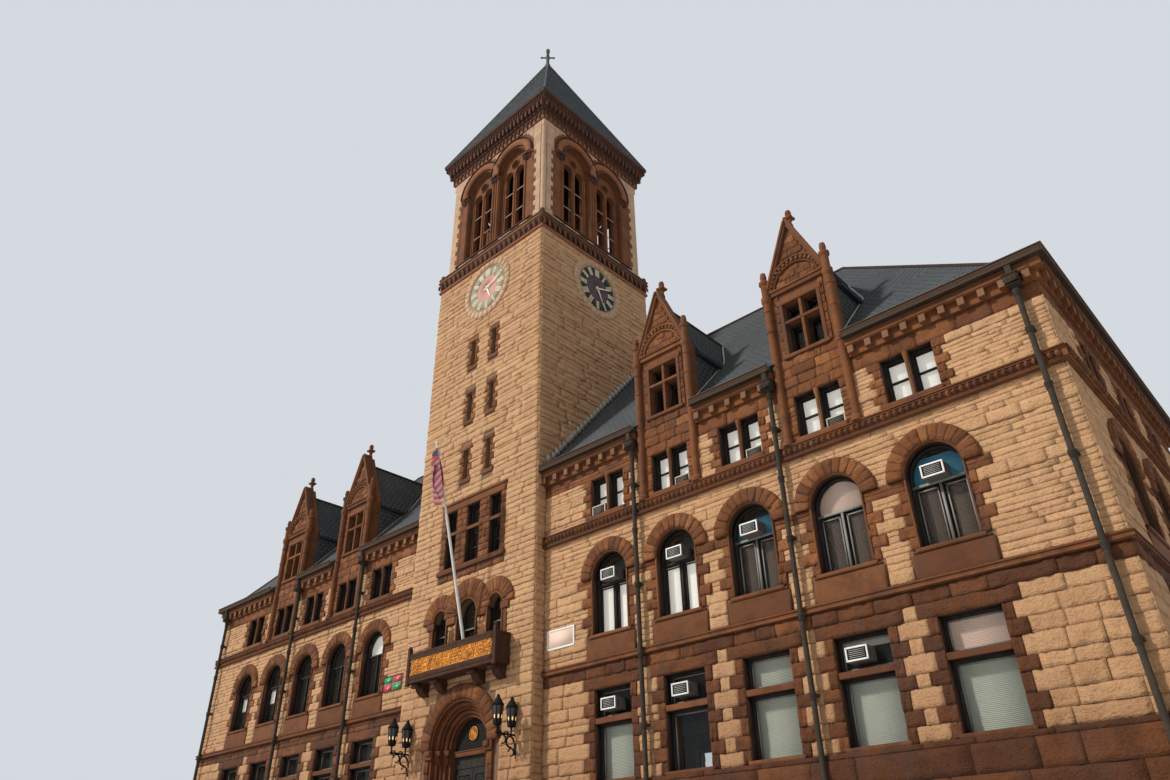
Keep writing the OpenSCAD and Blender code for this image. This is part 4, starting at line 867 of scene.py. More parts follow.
@dataclass
class Mason:
    """Lays rock-faced stones in courses on one wall.

    Args:
        wall: the wall.
        field_pile, jamb_pile: the heaps for the stones of the courses, and for jamb stones and rings.
        grain: prefix of the rough stones' names, set by how far off they are seen from.
        gap: width of the joints.
        split: share of the courses' stretches that are two low courses.
    """

    wall: Wall
    field_pile: Pile
    jamb_pile: Pile
    grain: str = "rock"
    gap: float = 0.003
    rng: random.Random = field(default_factory=lambda: random.Random(7))
    split: float = 0.0
    thin: float = 0.115

    def stone(self, pile: Pile, u0: float, u1: float, v0: float, v1: float, relief: float) -> None:
        """Sets one rough stone between two ends and two levels."""
        if u1 - u0 < 0.02:
            return
        grain = "chip" if v1 - v0 < self.thin else self.grain
        relief *= 1.0 if grain == self.grain else 0.5
        size = (u1 - u0 - self.gap, v1 - v0 - self.gap, relief * self.rng.uniform(0.6, 1.2))
        pile.put(f"{grain}{self.rng.randrange(ROUGH_FACES)}", self.wall, (u0 + u1) / 2, (v0 + v1) / 2, 0.0, size,
            tint=self.rng.random())

    def row(self, pile: Pile, u0: float, u1: float, v0: float, v1: float, length: float, relief: float) -> None:
        """Fills one stretch of a course with stones of about one length."""
        if u1 - u0 < 0.03:
            return
        if v1 - v0 > 0.12 and self.rng.random() < self.split:
            middle = v0 + (v1 - v0) * self.rng.uniform(0.42, 0.58)
            for low, high in ((v0, middle), (middle, v1)):
                self.row(pile, u0, u1, low, high, length * 1.35, relief)
            return
        count = max(1, round((u1 - u0) / length))
        cuts = [u0 + (u1 - u0) * (i + self.rng.uniform(-0.38, 0.38)) / count for i in range(1, count)]
        for a, b in pairwise([u0, *cuts, u1]):
            self.stone(pile, a, b, v0, v1, relief)

    def lay(self, run: Pair, levels: Sequence[float], holes: Sequence[Hole | Disc] = (), length: float = 0.42,
            relief: float = 0.028, pile: Pile | None = None) -> None:
        """Lays courses over a run of the wall, round its holes and with toothed jambs.

        Args:
            run: ends of the run.
            levels: foot of each course, and the top of the last.
            holes: what interrupts the courses.
            length: usual length of a stone.
            relief: how far the stones stand out.
            pile: the heap, or None for the wall's own.
        """
        pile = pile or self.field_pile
        for index, (low, high) in enumerate(pairwise(levels)):
            taken: list[Pair] = []
            for hole in holes:
                span = hole.span(low, high)
                if span is None or span[1] < run[0] or span[0] > run[1]:
                    continue
                if hole.teeth and low < getattr(hole, "head", high) - 1e-4:
                    tooth = hole.teeth[index % 2]
                    self.stone(self.jamb_pile, span[0] - tooth, span[0], low, high, relief * 1.15)
                    self.stone(self.jamb_pile, span[1], span[1] + tooth, low, high, relief * 1.15)
                    span = (span[0] - tooth, span[1] + tooth)
                taken.append(span)
            start = run[0]
            for a, b in sorted(taken):
                self.row(pile, start, min(a, run[1]), low, high, length, relief)
                start = max(start, b)
            self.row(pile, start, run[1], low, high, length, relief)

    def ring(self, u: float, v: float, inner: float, outer: float, count: int, relief: float) -> None:
        """Sets the wedge stones of an arch.

        Args:
            u, v: its centre.
            inner, outer: its radii.
            count: number of stones.
            relief: how far they stand out.
        """
        step, pile, name = math.pi / count, self.jamb_pile, f"{inner:.3f}_{outer:.3f}_{count}"
        pile.put(SHAPES.arch("ring_bed_" + name, 0.0, bar(inner, outer, 0.0, 0.9), 2 * count), self.wall, u, v, 0.0,
            (1, 1, relief), tint=0.8)
        for i in range(count):
            kind = self.rng.randrange(3)
            wedge = SHAPES.make(f"wedge_{name}_{kind}",
                lambda: wedge_stone(kind + 40, inner, outer, step - self.gap / outer))
            size = (1, 1, relief * self.rng.uniform(0.6, 0.85))
            pile.put(wedge, self.wall, u, v, 0.7 * relief, size, (i + 0.5) * step - QUARTER, self.rng.random())


@dataclass
class WingFace(Part):
    """One outer wall of the wings, with its courses, window surrounds, strings and cornice.

    Args:
        name: prefix of its pieces.
        wall: the wall.
        runs: the stretches of it that show.
        bays, dormers: centres of its windows, and of the dormers above it.
        corners: ends at outer corners, each with the way into the wall, where the courses reach past the end.
    """

    name: str
    wall: Wall
    runs: Sequence[Pair]
    bays: Sequence[float]
    dormers: Sequence[float] = ()
    corners: Sequence[tuple[float, int]] = ()
    teeth: Pair = (0.13, 0.25)
    top_teeth: Pair = (0.12, 0.2)
    ring_stones: int = 13
    lintel: float = 0.19
    impost: float = SECOND_SPRING - 0.17
    relief: float = 0.034
    split: float = 0.65
    knob_pitch: float = 0.094
    string_lines: Sequence[tuple[float, ...]] = ((SECOND - 0.02, 0.024, 0.016), (SECOND - 0.085, 0.02, 0.012),
        (THIRD - 0.012, 0.026, 0.03), (THIRD - 0.045, 0.016, 0.018), (STRING_FOOT + 0.012, 0.024, 0.022),
        (STRING_FOOT + 0.045, 0.014, 0.010))
    cornice_lines: Sequence[tuple[float, ...]] = ((WALL_TOP - 0.03, 0.024, 0.02), (WALL_TOP - 0.1, 0.02, 0.012))
    gutter_lines: Sequence[tuple[float, ...]] = ((7.434, 0.008, 0.014), (7.466, 0.006, 0.008), (7.500, 0.007, 0.012),
        (7.543, 0.012, 0.022))

    def work(self) -> None:
        """Lays and dresses the face, storey by storey."""
        self.buff = self.heap(self.name + "_buff_stones", Finish.BUFF)
        self.brown = self.heap(self.name + "_brown_stones", Finish.BROWN)
        self.low = self.heap(self.name + "_low_brown_stones", Finish.BROWN_LOW)
        self.trim = self.heap(self.name + "_dressings", Finish.BROWN_SMOOTH)
        self.knobs = self.heap(self.name + "_string_knobs", Finish.BROWN_SMOOTH, 50)
        self.faces = self.heap(self.name + "_block_faces", Finish.TAN_STONE)
        self.dark = self.heap(self.name + "_band_grounds", Finish.BROWN_DARK)
        self.gutter = self.heap(self.name + "_gutter_lines", Finish.TAN)
        self.mason = Mason(self.wall, self.buff, self.brown, rng=random.Random(sum(map(ord, self.name))))
        self.lay_ground_storey()
        self.lay_arched_storey()
        self.lay_top_storey()
        self.mould_strings()
        self.face_blocks()

    def past(self, run: Pair, by: float = 0.02) -> Pair:
        """A run that reaches past the wall's outer corners, usually by the depth of a stone."""
        return (run[0] - (by if (run[0], 1) in self.corners else 0.0),
            run[1] + (by if (run[1], -1) in self.corners else 0.0))

    def lay_ground_storey(self) -> None:
        """The plinth-to-string storey, with its flat windows, stone bars and lintels."""
        mason, lintel_top, plinth = self.mason, FIRST_HEAD + self.lintel, PLINTH_TOP - 0.07
        holes = [Hole(c, WINDOW_HALF, PLINTH_TOP, FIRST_HEAD, 0.0, self.teeth) for c in self.bays]
        lintels = [Hole(c, 0.64, FIRST_HEAD, lintel_top) for c in self.bays]
        mason.split, mason.jamb_pile = 0.12, self.low
        base = Mason(Wall(tuple(self.wall.at(0.0, 0.0, 0.06).translation), self.wall.outward), self.low, self.low,
            rng=random.Random(len(self.name)))
        for run in map(self.past, self.runs):
            base.lay(run, courses(0.0, plinth, 5), (), 0.85, self.relief)
            base.lay(run, [plinth, PLINTH_TOP], (), 1.1, 0.02)
            mason.lay(run, uneven_courses(PLINTH_TOP, FIRST_HEAD, 7, 0.16), holes, 0.50, self.relief)
            mason.lay(run, [FIRST_HEAD, lintel_top], lintels, 0.46, self.relief)
            mason.lay(run, [lintel_top, SECOND - 0.105], (), 0.5, 0.038, self.low)
        mason.split, mason.jamb_pile = self.split, self.brown
        for c in self.bays:
            mason.stone(self.low, c - 0.638, c + 0.638, FIRST_HEAD, lintel_top, 0.042)
            self.slab(c, FIRST_BAR, 2 * WINDOW_HALF + 0.02, 0.085, 0.012)
            self.slab(c, PLINTH_TOP + 0.02, 2 * WINDOW_HALF + 0.1, 0.06, 0.045)

    def lay_arched_storey(self) -> None:
        """The storey of the arched windows, with ring stones, impost course and sill panels."""
        mason = self.mason
        panels = [Hole(c, 0.56, SECOND, SECOND_SILL) for c in self.bays]
        jambs = [Hole(c, WINDOW_HALF, SECOND_SILL, self.impost, 0.0, self.teeth) for c in self.bays]
        arches = [Hole(c, WINDOW_HALF, self.impost, SECOND_SPRING, RING_OUT) for c in self.bays]
        first, last = min(self.bays) - RING_OUT - 0.1, max(self.bays) + RING_OUT + 0.1
        for run in map(self.past, self.runs):
            mason.lay(run, courses(SECOND, SECOND_SILL, 2), panels, 0.5, self.relief)
            mason.lay(run, courses(SECOND_SILL, self.impost, 5), jambs, 0.42, self.relief)
            for a, b, pile in ((run[0], first, self.buff), (first, last, self.brown), (last, run[1], self.buff)):
                mason.lay((a, b), [self.impost, SECOND_SPRING], arches, 0.42, 0.036, pile)
            mason.lay(run, uneven_courses(SECOND_SPRING, STRING_FOOT, 5, 0.2), arches, 0.46, self.relief)
        moulding = SHAPES.arch("arch_roll", WINDOW_HALF, roll(0.0, 0.026, -0.01, 0.03, (0.012, 0.042)), 20)
        for c in self.bays:
            mason.ring(c, SECOND_SPRING, WINDOW_HALF + 0.02, RING_OUT, self.ring_stones, 0.052)
            self.trim.put(moulding, self.wall, c, SECOND_SPRING)
            for s in (-1, 1):
                self.slab(c + s * (WINDOW_HALF + 0.013), (SECOND_SILL + SECOND_SPRING) / 2, 0.026,
                    SECOND_SPRING - SECOND_SILL, 0.036)
            self.slab(c, SECOND_SILL - 0.025, 2 * WINDOW_HALF + 0.14, 0.05, 0.05)
            self.slab(c, SECOND + 0.17, 1.08, 0.33, 0.024)
            self.slab(c, SECOND + 0.355, 1.02, 0.03, 0.036)

    def lay_top_storey(self) -> None:
        """The storey under the eaves, with paired windows, a plain band and blocks under the cornice."""
        mason = self.mason
        holes = [Hole(c, WINDOW_HALF, THIRD_SILL - 0.085, THIRD_HEAD, 0.0, self.top_teeth) for c in self.bays
            if c not in self.dormers]
        holes += [Hole(c, DORMER_HALF + 0.02, THIRD, WALL_TOP + 1) for c in self.dormers]
        for run in map(self.past, self.runs):
            mason.lay(run, courses(THIRD, THIRD_HEAD, 6), holes, 0.40, self.relief)
        for c in self.dormers:
            mason.lay((c - DORMER_HALF, c + DORMER_HALF), courses(THIRD, THIRD_HEAD, 5),
                [Hole(c, WINDOW_HALF, THIRD, THIRD_HEAD)], 0.2, 0.03, self.brown)
        post = SHAPES.turn("window_post", [(0.036, 0.0), (0.036, 0.03), (0.026, 0.05), (0.024, 0.55), (0.03, 0.56),
            (0.026, 0.58), (0.042, 0.66), (0.045, 0.70), (0.045, 0.74)], 10)
        for c in self.bays:
            self.trim.put(post, self.wall, c, THIRD_SILL, -0.005)
            self.slab(c, THIRD_SILL - 0.04, 2 * WINDOW_HALF + 0.06, 0.09, 0.05)
        for gap in (gap for run in self.runs for gap in self.gaps(run)):
            mason.lay(gap, [THIRD_HEAD, THIRD_HEAD + 0.27], (), 0.5, 0.024, self.brown)

    def gaps(self, run: Pair) -> list[Pair]:
        """What the dormer shafts leave of a run."""
        free, start = [], run[0]
        for c in sorted(self.dormers):
            if run[0] < c < run[1]:
                free.append((start, c - DORMER_HALF - 0.1))
                start = c + DORMER_HALF + 0.1
        return free + [(start, run[1])]

    def line(self, pile: Pile, ends: Pair, w: float, v: float, high: float, out: float) -> None:
        """A straight moulding between two ends."""
        pile.block(self.wall, sum(ends) / 2, v, w, ends[1] - ends[0], high, out)

    def mould_strings(self) -> None:
        """Rolls on the two strings, the knobbed band and the lines of the cornice and gutter."""
        for a, b in self.runs:
            for row in self.string_lines:
                self.line(self.trim, self.past((a, b), 0.06), 0.06, *row)
            count, band = int((b - a) / self.knob_pitch), THIRD - 0.105
            for i in range(count):
                self.knobs.put("bud", self.wall, a + (b - a) * (i + 0.5) / count, band, 0.054, (0.070, 0.100, 0.070))
            # A dark plate behind the knobs: painted shade between them.
            self.dark.plate(self.wall, (a + b) / 2, band, 0.06, b - a, 0.105, 0.003)
            for gap in self.gaps((a, b)):
                for row in self.cornice_lines:
                    self.line(self.trim, gap, 0.14, *row)
                for row in self.gutter_lines:
                    self.line(self.gutter, self.past(gap, 0.235), 0.218, *row)

    def face_blocks(self) -> None:
        """Pale faces on the ends of the cornice blocks that the CAD model stands out."""
        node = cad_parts["main_cornice"]
        turn = self.wall.basis().inverted() @ node.matrix_world
        spots = [turn @ v.co for v in node.data.vertices]
        marks = sorted({round(p.x, 4) for p in spots
            if abs(p.z - 0.13) < 1e-3 and WALL_TOP - 0.26 < p.y < WALL_TOP - 0.13})
        for a, b in zip(marks[::2], marks[1::2]):
            if any(run[0] - 0.2 < a < run[1] + 0.2 for run in self.runs):
                self.faces.block(self.wall, (a + b) / 2, WALL_TOP - 0.19, 0.129, b - a - 0.006, 0.118, 0.008)


@dataclass
class Dormers(Part):
    """The masonry of the dormer fronts: gable stones, window surround, toothed arch, coping and shaft rings."""

    places: Sequence[float]
    wall: Wall = FRONT
    shoulder: float = 8.935
    apex: float = 10.305
    window_half: float = 0.32
    teeth: int = 17

    def work(self) -> None:
        """Lays and dresses every dormer front."""
        self.brown = self.heap("dormer_stones", Finish.BROWN)
        self.trim = self.heap("dormer_dressings", Finish.BROWN_SMOOTH)
        self.turned = self.heap("dormer_knobs", Finish.BROWN_SMOOTH, 40)
        self.spring = self.shoulder + 0.05
        SHAPES.turn("shaft_ring", [(0.064, -0.02), (0.076, -0.012), (0.08, 0.0), (0.076, 0.012), (0.064, 0.02)], 14)
        mason = Mason(self.wall, self.brown, self.brown, rng=random.Random(31))
        for c in self.places:
            self.lay_front(mason, c)
            self.dress_window(c)
            self.dress_gable(c)

    def lay_front(self, mason: Mason, c: float) -> None:
        """The stones of the shaft, the gable and the arch's field."""
        def lay(wide: float, levels: Sequence[float], holes: Sequence[Hole], length: float, relief: float) -> None:
            """Lays courses to the same width on both sides of the dormer's middle."""
            mason.lay((c - wide, c + wide), levels, holes, length, relief)
        foot, over = DORMER_SILL - 0.05, self.shoulder + 0.09
        window = Hole(c, self.window_half + 0.06, foot, DORMER_HEAD + 0.1)
        lay(DORMER_HALF, courses(THIRD_HEAD, foot, 4), (), 0.3, 0.03)
        lay(DORMER_HALF - 0.11, courses(foot, self.shoulder - 0.04, 7), [window], 0.2, 0.03)
        arch = Hole(c, 0.44, self.shoulder, self.spring, 0.545)
        for low, high in pairwise(courses(over, self.apex - 0.18, 8)):
            wide = DORMER_HALF * (self.apex - high) / (self.apex - self.shoulder) - 0.03
            if wide > 0.05:
                lay(wide, [low, high], [arch], 0.2, 0.024)
        for low, high in pairwise(courses(over, over + 0.35, 3)):
            lay(chord(0.40, high - self.spring), [low, high], (), 0.16, 0.02)

    def dress_window(self, c: float) -> None:
        """Plain surround, post and bar of the four-light window."""
        half, tall, mid = self.window_half, DORMER_HEAD - DORMER_SILL, (DORMER_SILL + DORMER_HEAD) / 2
        for s in (-1, 1):
            self.slab(c + s * (half + 0.03), mid, 0.06, tall + 0.02, 0.034)
        self.slab(c, DORMER_HEAD + 0.05, 2 * half + 0.2, 0.1, 0.036)
        self.slab(c, DORMER_SILL - 0.03, 2 * half + 0.2, 0.06, 0.055)
        self.slab(c, mid, 0.05, tall, 0.018)
        self.slab(c, DORMER_BAR, 2 * half, 0.05, 0.024)

    def dress_gable(self, c: float) -> None:
        """The string under the arch, the toothed arch, the sloping coping and the shaft rings."""
        for rise, high, out in ((-0.03, 0.03, 0.05), (0.02, 0.05, 0.036), (0.06, 0.025, 0.06)):
            self.slab(c, self.shoulder + rise, 2 * (DORMER_HALF - 0.06), high, out)
        for name, section in (("gable_hood", roll(0.515, 0.55, 0.0, 0.05, (0.53, 0.062))),
                ("gable_roll", roll(0.40, 0.44, 0.0, 0.03, (0.415, 0.045)))):
            self.trim.put(SHAPES.arch(name, 0.0, section, 22 if name == "gable_hood" else 20),
                self.wall, c, self.spring)
        for i in range(self.teeth):
            angle = math.pi * (i + 0.5) / self.teeth
            self.trim.block(self.wall, c + 0.476 * math.cos(angle), self.spring + 0.476 * math.sin(angle), 0.015,
                0.050, 0.062, 0.038, angle - QUARTER)
        rise = self.apex - self.shoulder
        long, lean = math.hypot(rise, DORMER_HALF) + 0.05, math.atan2(rise, DORMER_HALF)
        for s in (-1, 1):
            u, v = c + s * (DORMER_HALF / 2 + 0.005), (self.shoulder + self.apex) / 2 + 0.005
            self.trim.block(self.wall, u, v, -0.10, long, 0.085, 0.16, -s * lean)
            self.trim.block(self.wall, u + s * 0.02, v + 0.014, -0.11, long, 0.04, 0.19, -s * lean)
            for v in (7.5, 8.2, 8.62):
                self.turned.put("shaft_ring", self.wall, c + s * (DORMER_HALF + 0.02), v, 0.04)


def roof_at(y: float) -> float:
    """Height of the main roof's surface over a depth from the front."""
    if y <= KINK_IN:
        return EAVES + (y + EAVES_OUT) * (KINK - EAVES) / (KINK_IN + EAVES_OUT)
    if y <= RIDGE_IN:
        return KINK + (y - KINK_IN) * (RIDGE - KINK) / (RIDGE_IN - KINK_IN)
    return roof_at(2 * RIDGE_IN - y)


def depth_at(z: float) -> float:
    """Depth from the front at which the main roof reaches a height."""
    if z <= KINK:
        return -EAVES_OUT + max(0.0, z - EAVES) * (KINK_IN + EAVES_OUT) / (KINK - EAVES)
    return KINK_IN + (z - KINK) * (RIDGE_IN - KINK_IN) / (RIDGE - KINK)


@dataclass
class TowerShaft(Part):
    """The stonework of the tower between the plinth and the course under the belfry."""

    slits: Sequence[Pair] = ((8.015, 8.735), (9.48, 10.195), (10.95, 11.66))
    slit_u: float = 0.37
    slit_half: float = 0.07
    triple: Sequence[Point] = ((-0.83, 0.205, 0.54), (0.0, 0.28, 0.69), (0.83, 0.205, 0.54))
    group: Sequence[Pair] = ((-0.7, 0.175), (0.0, 0.215), (0.7, 0.175))
    group_levels: Pair = (6.065, 7.35)
    balcony_top: float = 3.98
    group_foot: float = 5.8
    group_top: float = 7.56
    group_half: float = 1.02

    def work(self) -> None:
        """Lays all four sides."""
        for side, self.wall in TOWER_SIDES.items():
            self.buff = self.heap(f"tower_{side}_stones", Finish.BUFF)
            self.brown = self.heap(f"tower_{side}_brown_stones", Finish.BROWN)
            self.trim = self.heap(f"tower_{side}_dressings", Finish.BROWN_SMOOTH)
            self.mason = Mason(self.wall, self.buff, self.brown, "chip", 0.0035, random.Random(len(side) * 11))
            if side == "front":
                self.lay_entrance_storey()
                self.lay_arches()
                self.lay_group()
                self.lay_upper()
            else:
                self.lay_beside_roof({"right": 1, "left": -1, "back": 0}[side])

    def lay_entrance_storey(self) -> None:
        """Large stones round the entrance arch."""
        big = Mason(self.wall, self.buff, self.brown, rng=random.Random(3))
        big.lay(TOWER_RUN, courses(PLINTH_TOP, SECOND, 10), [Hole(0.0, 1.09, PLINTH_TOP, 2.575, 1.1)], 0.4, 0.03)
        self.mason.lay(TOWER_RUN, courses(SECOND, self.balcony_top, 3), (), 0.44, 0.026)

    def lay_arches(self) -> None:
        """The triple window over the balcony, with rings that meet on small piers."""
        spring, impost, foot = SECOND_SPRING, SECOND_SPRING - 0.14, self.balcony_top
        holes = [Hole(u, half + 0.04, foot, spring, ring) for u, half, ring in self.triple]
        for levels, around in ((courses(foot, impost, 8), holes), ([impost, spring], [Hole(0.0, 1.1, impost, spring)]),
                (courses(spring, self.group_foot, 7), holes)):
            self.mason.lay(TOWER_RUN, levels, around, 0.44, 0.024)
        for u, half, ring in self.triple:
            self.mason.ring(u, spring, half + 0.03, ring, *((17, 0.05) if ring > 0.6 else (13, 0.042)))
            self.trim.put(SHAPES.arch(f"triple_roll_{half}", half, roll(0.0, 0.034, -0.02, 0.05, (0.016, 0.062)), 18),
                self.wall, u, spring)
            for s in (-1, 1):
                self.slab(u + s * (half + 0.018), (SECOND_SILL + spring) / 2, 0.036, spring - SECOND_SILL, 0.045)
        for u in (-0.4625, 0.4625):
            self.slab(u, 4.43, 0.15, 0.86, 0.02)
            self.slab(u, spring - 0.07, 0.26, 0.13, 0.06)
        for u in (-1.12, 1.12):
            self.slab(u, spring - 0.07, 0.22, 0.13, 0.05)
            self.slab(u, 4.43, 0.1, 0.86, 0.03)

    def lay_group(self) -> None:
        """The three tall windows in their brown surround."""
        (low, high), half, foot, mason = self.group_levels, self.group_half, self.group_foot, self.mason
        mason.lay(TOWER_RUN, courses(foot, self.group_top, 15), [Hole(0.0, half, foot, self.group_top)], 0.5, 0.024)
        lights = [Hole(u, wide, low, high) for u, wide in self.group]
        mason.lay((-half, half), courses(low, high, 9), lights, 0.16, 0.032, self.brown)
        mason.lay((-half, half), [foot, foot + 0.13], (), 0.3, 0.04, self.brown)
        for v, wide, tall, out in ((low - 0.06, 2.1, 0.1, 0.07), (high + 0.07, 2.04, 0.14, 0.03),
                (high + 0.17, 2.08, 0.05, 0.05)):
            self.slab(0.0, v, wide, tall, out)
        for u, wide in self.group:
            self.slab(u, (low + high) / 2 + 0.12, 2 * wide + 0.02, 0.07, 0.016)

    def lay_upper(self) -> None:
        """The tall plain stretch with the slits and the clock."""
        slits = [Hole(s * self.slit_u, self.slit_half, low, high, 0.0, (0.07, 0.14)) for low, high in self.slits
            for s in (-1, 1)]
        for slit in slits:
            for v in (slit.foot - 0.045, slit.head + 0.05):
                self.slab(slit.u, v, 2 * slit.half + 0.2, 0.09, 0.03)
        caps = [Hole(h.u, h.half + 0.1, h.foot - 0.09, h.foot) for h in slits]
        caps += [Hole(h.u, h.half + 0.1, h.head, h.head + 0.09) for h in slits]
        self.mason.lay(TOWER_RUN, uneven_courses(self.group_top, BELT_FOOT, 50), [*slits, *caps, CLOCK_DISC],
            0.56, 0.028)

    def lay_beside_roof(self, sign: int) -> None:
        """A side that the main roof meets: only what stands above the roof is laid, with +u towards the sign."""
        def ends(far: float) -> list[float]:
            """The run from the tower's front to a depth, in order."""
            return sorted((sign * (TOWER_FRONT - TOWER_MID), sign * (far - TOWER_MID)))
        for low, high in pairwise(uneven_courses(PLINTH_TOP, self.group_top, 44) if sign else ()):
            self.mason.lay(ends(0.0), [low, high], (), 0.245, 0.026)
        for low, high in pairwise(uneven_courses(self.group_top, BELT_FOOT, 50)):
            if sign:
                far = TOWER_BACK if low > RIDGE else min(TOWER_BACK, depth_at(low))
                self.mason.lay(ends(far), [low, high], [CLOCK_DISC] if high > CLOCK - 1 else (), 0.60, 0.038)
            elif high > roof_at(TOWER_BACK):
                self.mason.lay(TOWER_RUN, [low, high], [CLOCK_DISC], 0.62, 0.03)


@dataclass
class Clocks(Part):
    """Pale stone rings, dial plates and raised strokes of the four dials."""

    groups: Sequence[int] = (5, 2, 3, 4, 4, 2, 3, 4, 5, 4, 3, 4)
    stones: int = 28
    stroke_pitch: float = 0.031

    def work(self) -> None:
        """Does the work round every dial."""
        step = FULL_TURN / self.stones
        SHAPES.make("clock_segment", lambda: smooth_wedge(0.655, 0.835, step - 0.008))
        for name, radius, wide, out in (("dial_rim", 0.634, 0.012, 0.034), ("ring_rim", 0.836, 0.006, 0.018)):
            SHAPES.arch(name, radius, [(-wide, 0.0), (-0.9 * wide, 0.7 * out), (0.0, out), (0.9 * wide, 0.7 * out),
                (wide, 0.0)], 48, FULL_TURN)
        SHAPES.turn("dial_plate", bar(0.07, 0.618, 0.0, 0.003), 64, True)
        SHAPES.turn("dial_band", bar(0.375, 0.615, 0.0, 0.002), 64, True)
        for side, wall in TOWER_SIDES.items():
            plain = side in ("front", "back")
            ring = self.heap(f"clock_{side}_ring", Finish.BUFF_PALE)
            figures = self.heap(f"clock_{side}_figures", Finish.FIGURE)
            plate = self.heap(f"clock_{side}_plate", Finish.DIAL if plain else Finish.DIAL_DARK)
            band = self.heap(f"clock_{side}_band", Finish.RIM_PALE if plain else Finish.RIM_DARK)
            rng = random.Random(5)
            for i in range(self.stones):
                ring.put("clock_segment", wall, 0.0, CLOCK, 0.02, (1, 1, 0.012), step * i, rng.random())
            for pile, shape, w in ((ring, "dial_rim", 0.0), (ring, "ring_rim", 0.0), (plate, "dial_plate", 0.0102),
                    (band, "dial_band", 0.0134)):
                pile.put(shape, wall, 0.0, CLOCK, w)
            self.mark(figures, wall)

    def mark(self, figures: Pile, wall: Wall) -> None:
        """Twelve groups of plain radial strokes, and a dot for each minute."""
        def stroke(angle: float, radius: float, wide: float, tall: float, out: float, shift: float = 0.0) -> None:
            """One raised block at an angle and a radius, moved sideways by its shift."""
            figures.block(wall, radius * math.cos(angle) - shift * math.sin(angle),
                CLOCK + radius * math.sin(angle) + shift * math.cos(angle), 0.013, wide, tall, out, angle - QUARTER)
        for i, count in enumerate(self.groups):
            angle = QUARTER - i * math.pi / 6
            for k in range(count):
                stroke(angle, 0.487, 0.014, 0.185, 0.010, (k - (count - 1) / 2) * self.stroke_pitch)
            for radius in (0.392, 0.582):
                stroke(angle, radius, self.stroke_pitch * count + 0.012, 0.012, 0.008)
        for i in range(60):
            stroke(i * math.pi / 30, 0.606, 0.010, 0.010, 0.006)


@dataclass(frozen=True)
class Slope:
    """A roof plane with its own flat frame: u along it, v up the slope, w out of it.

    Args:
        origin: the point of its foot at u = 0.
        outward: the horizontal direction that it falls towards.
        run, rise: how far it goes in and up.
    """

    origin: Point
    outward: Pair
    run: float
    rise: float

    @property
    def length(self) -> float:
        """Its length up the slope."""
        return math.hypot(self.run, self.rise)

    def basis(self) -> Matrix:
        """The matrix from (u, v, w) to the object's frame."""
        out, up = Vector((*self.outward, 0.0)), Vector((0.0, 0.0, 1.0))
        along, rise = up.cross(out), (up * self.rise - out * self.run).normalized()
        matrix = Matrix((along, rise, along.cross(rise))).transposed().to_4x4()
        matrix.translation = Vector(self.origin)
        return matrix

    def height(self, v: float) -> float:
        """The height of a point v up the slope."""
        return self.origin[2] + self.rise * v / self.length

    def taper(self, foot: float, top: float, v: float) -> float:
        """Half of its width at v, between half widths at its foot and its top."""
        return foot + (top - foot) * v / self.length


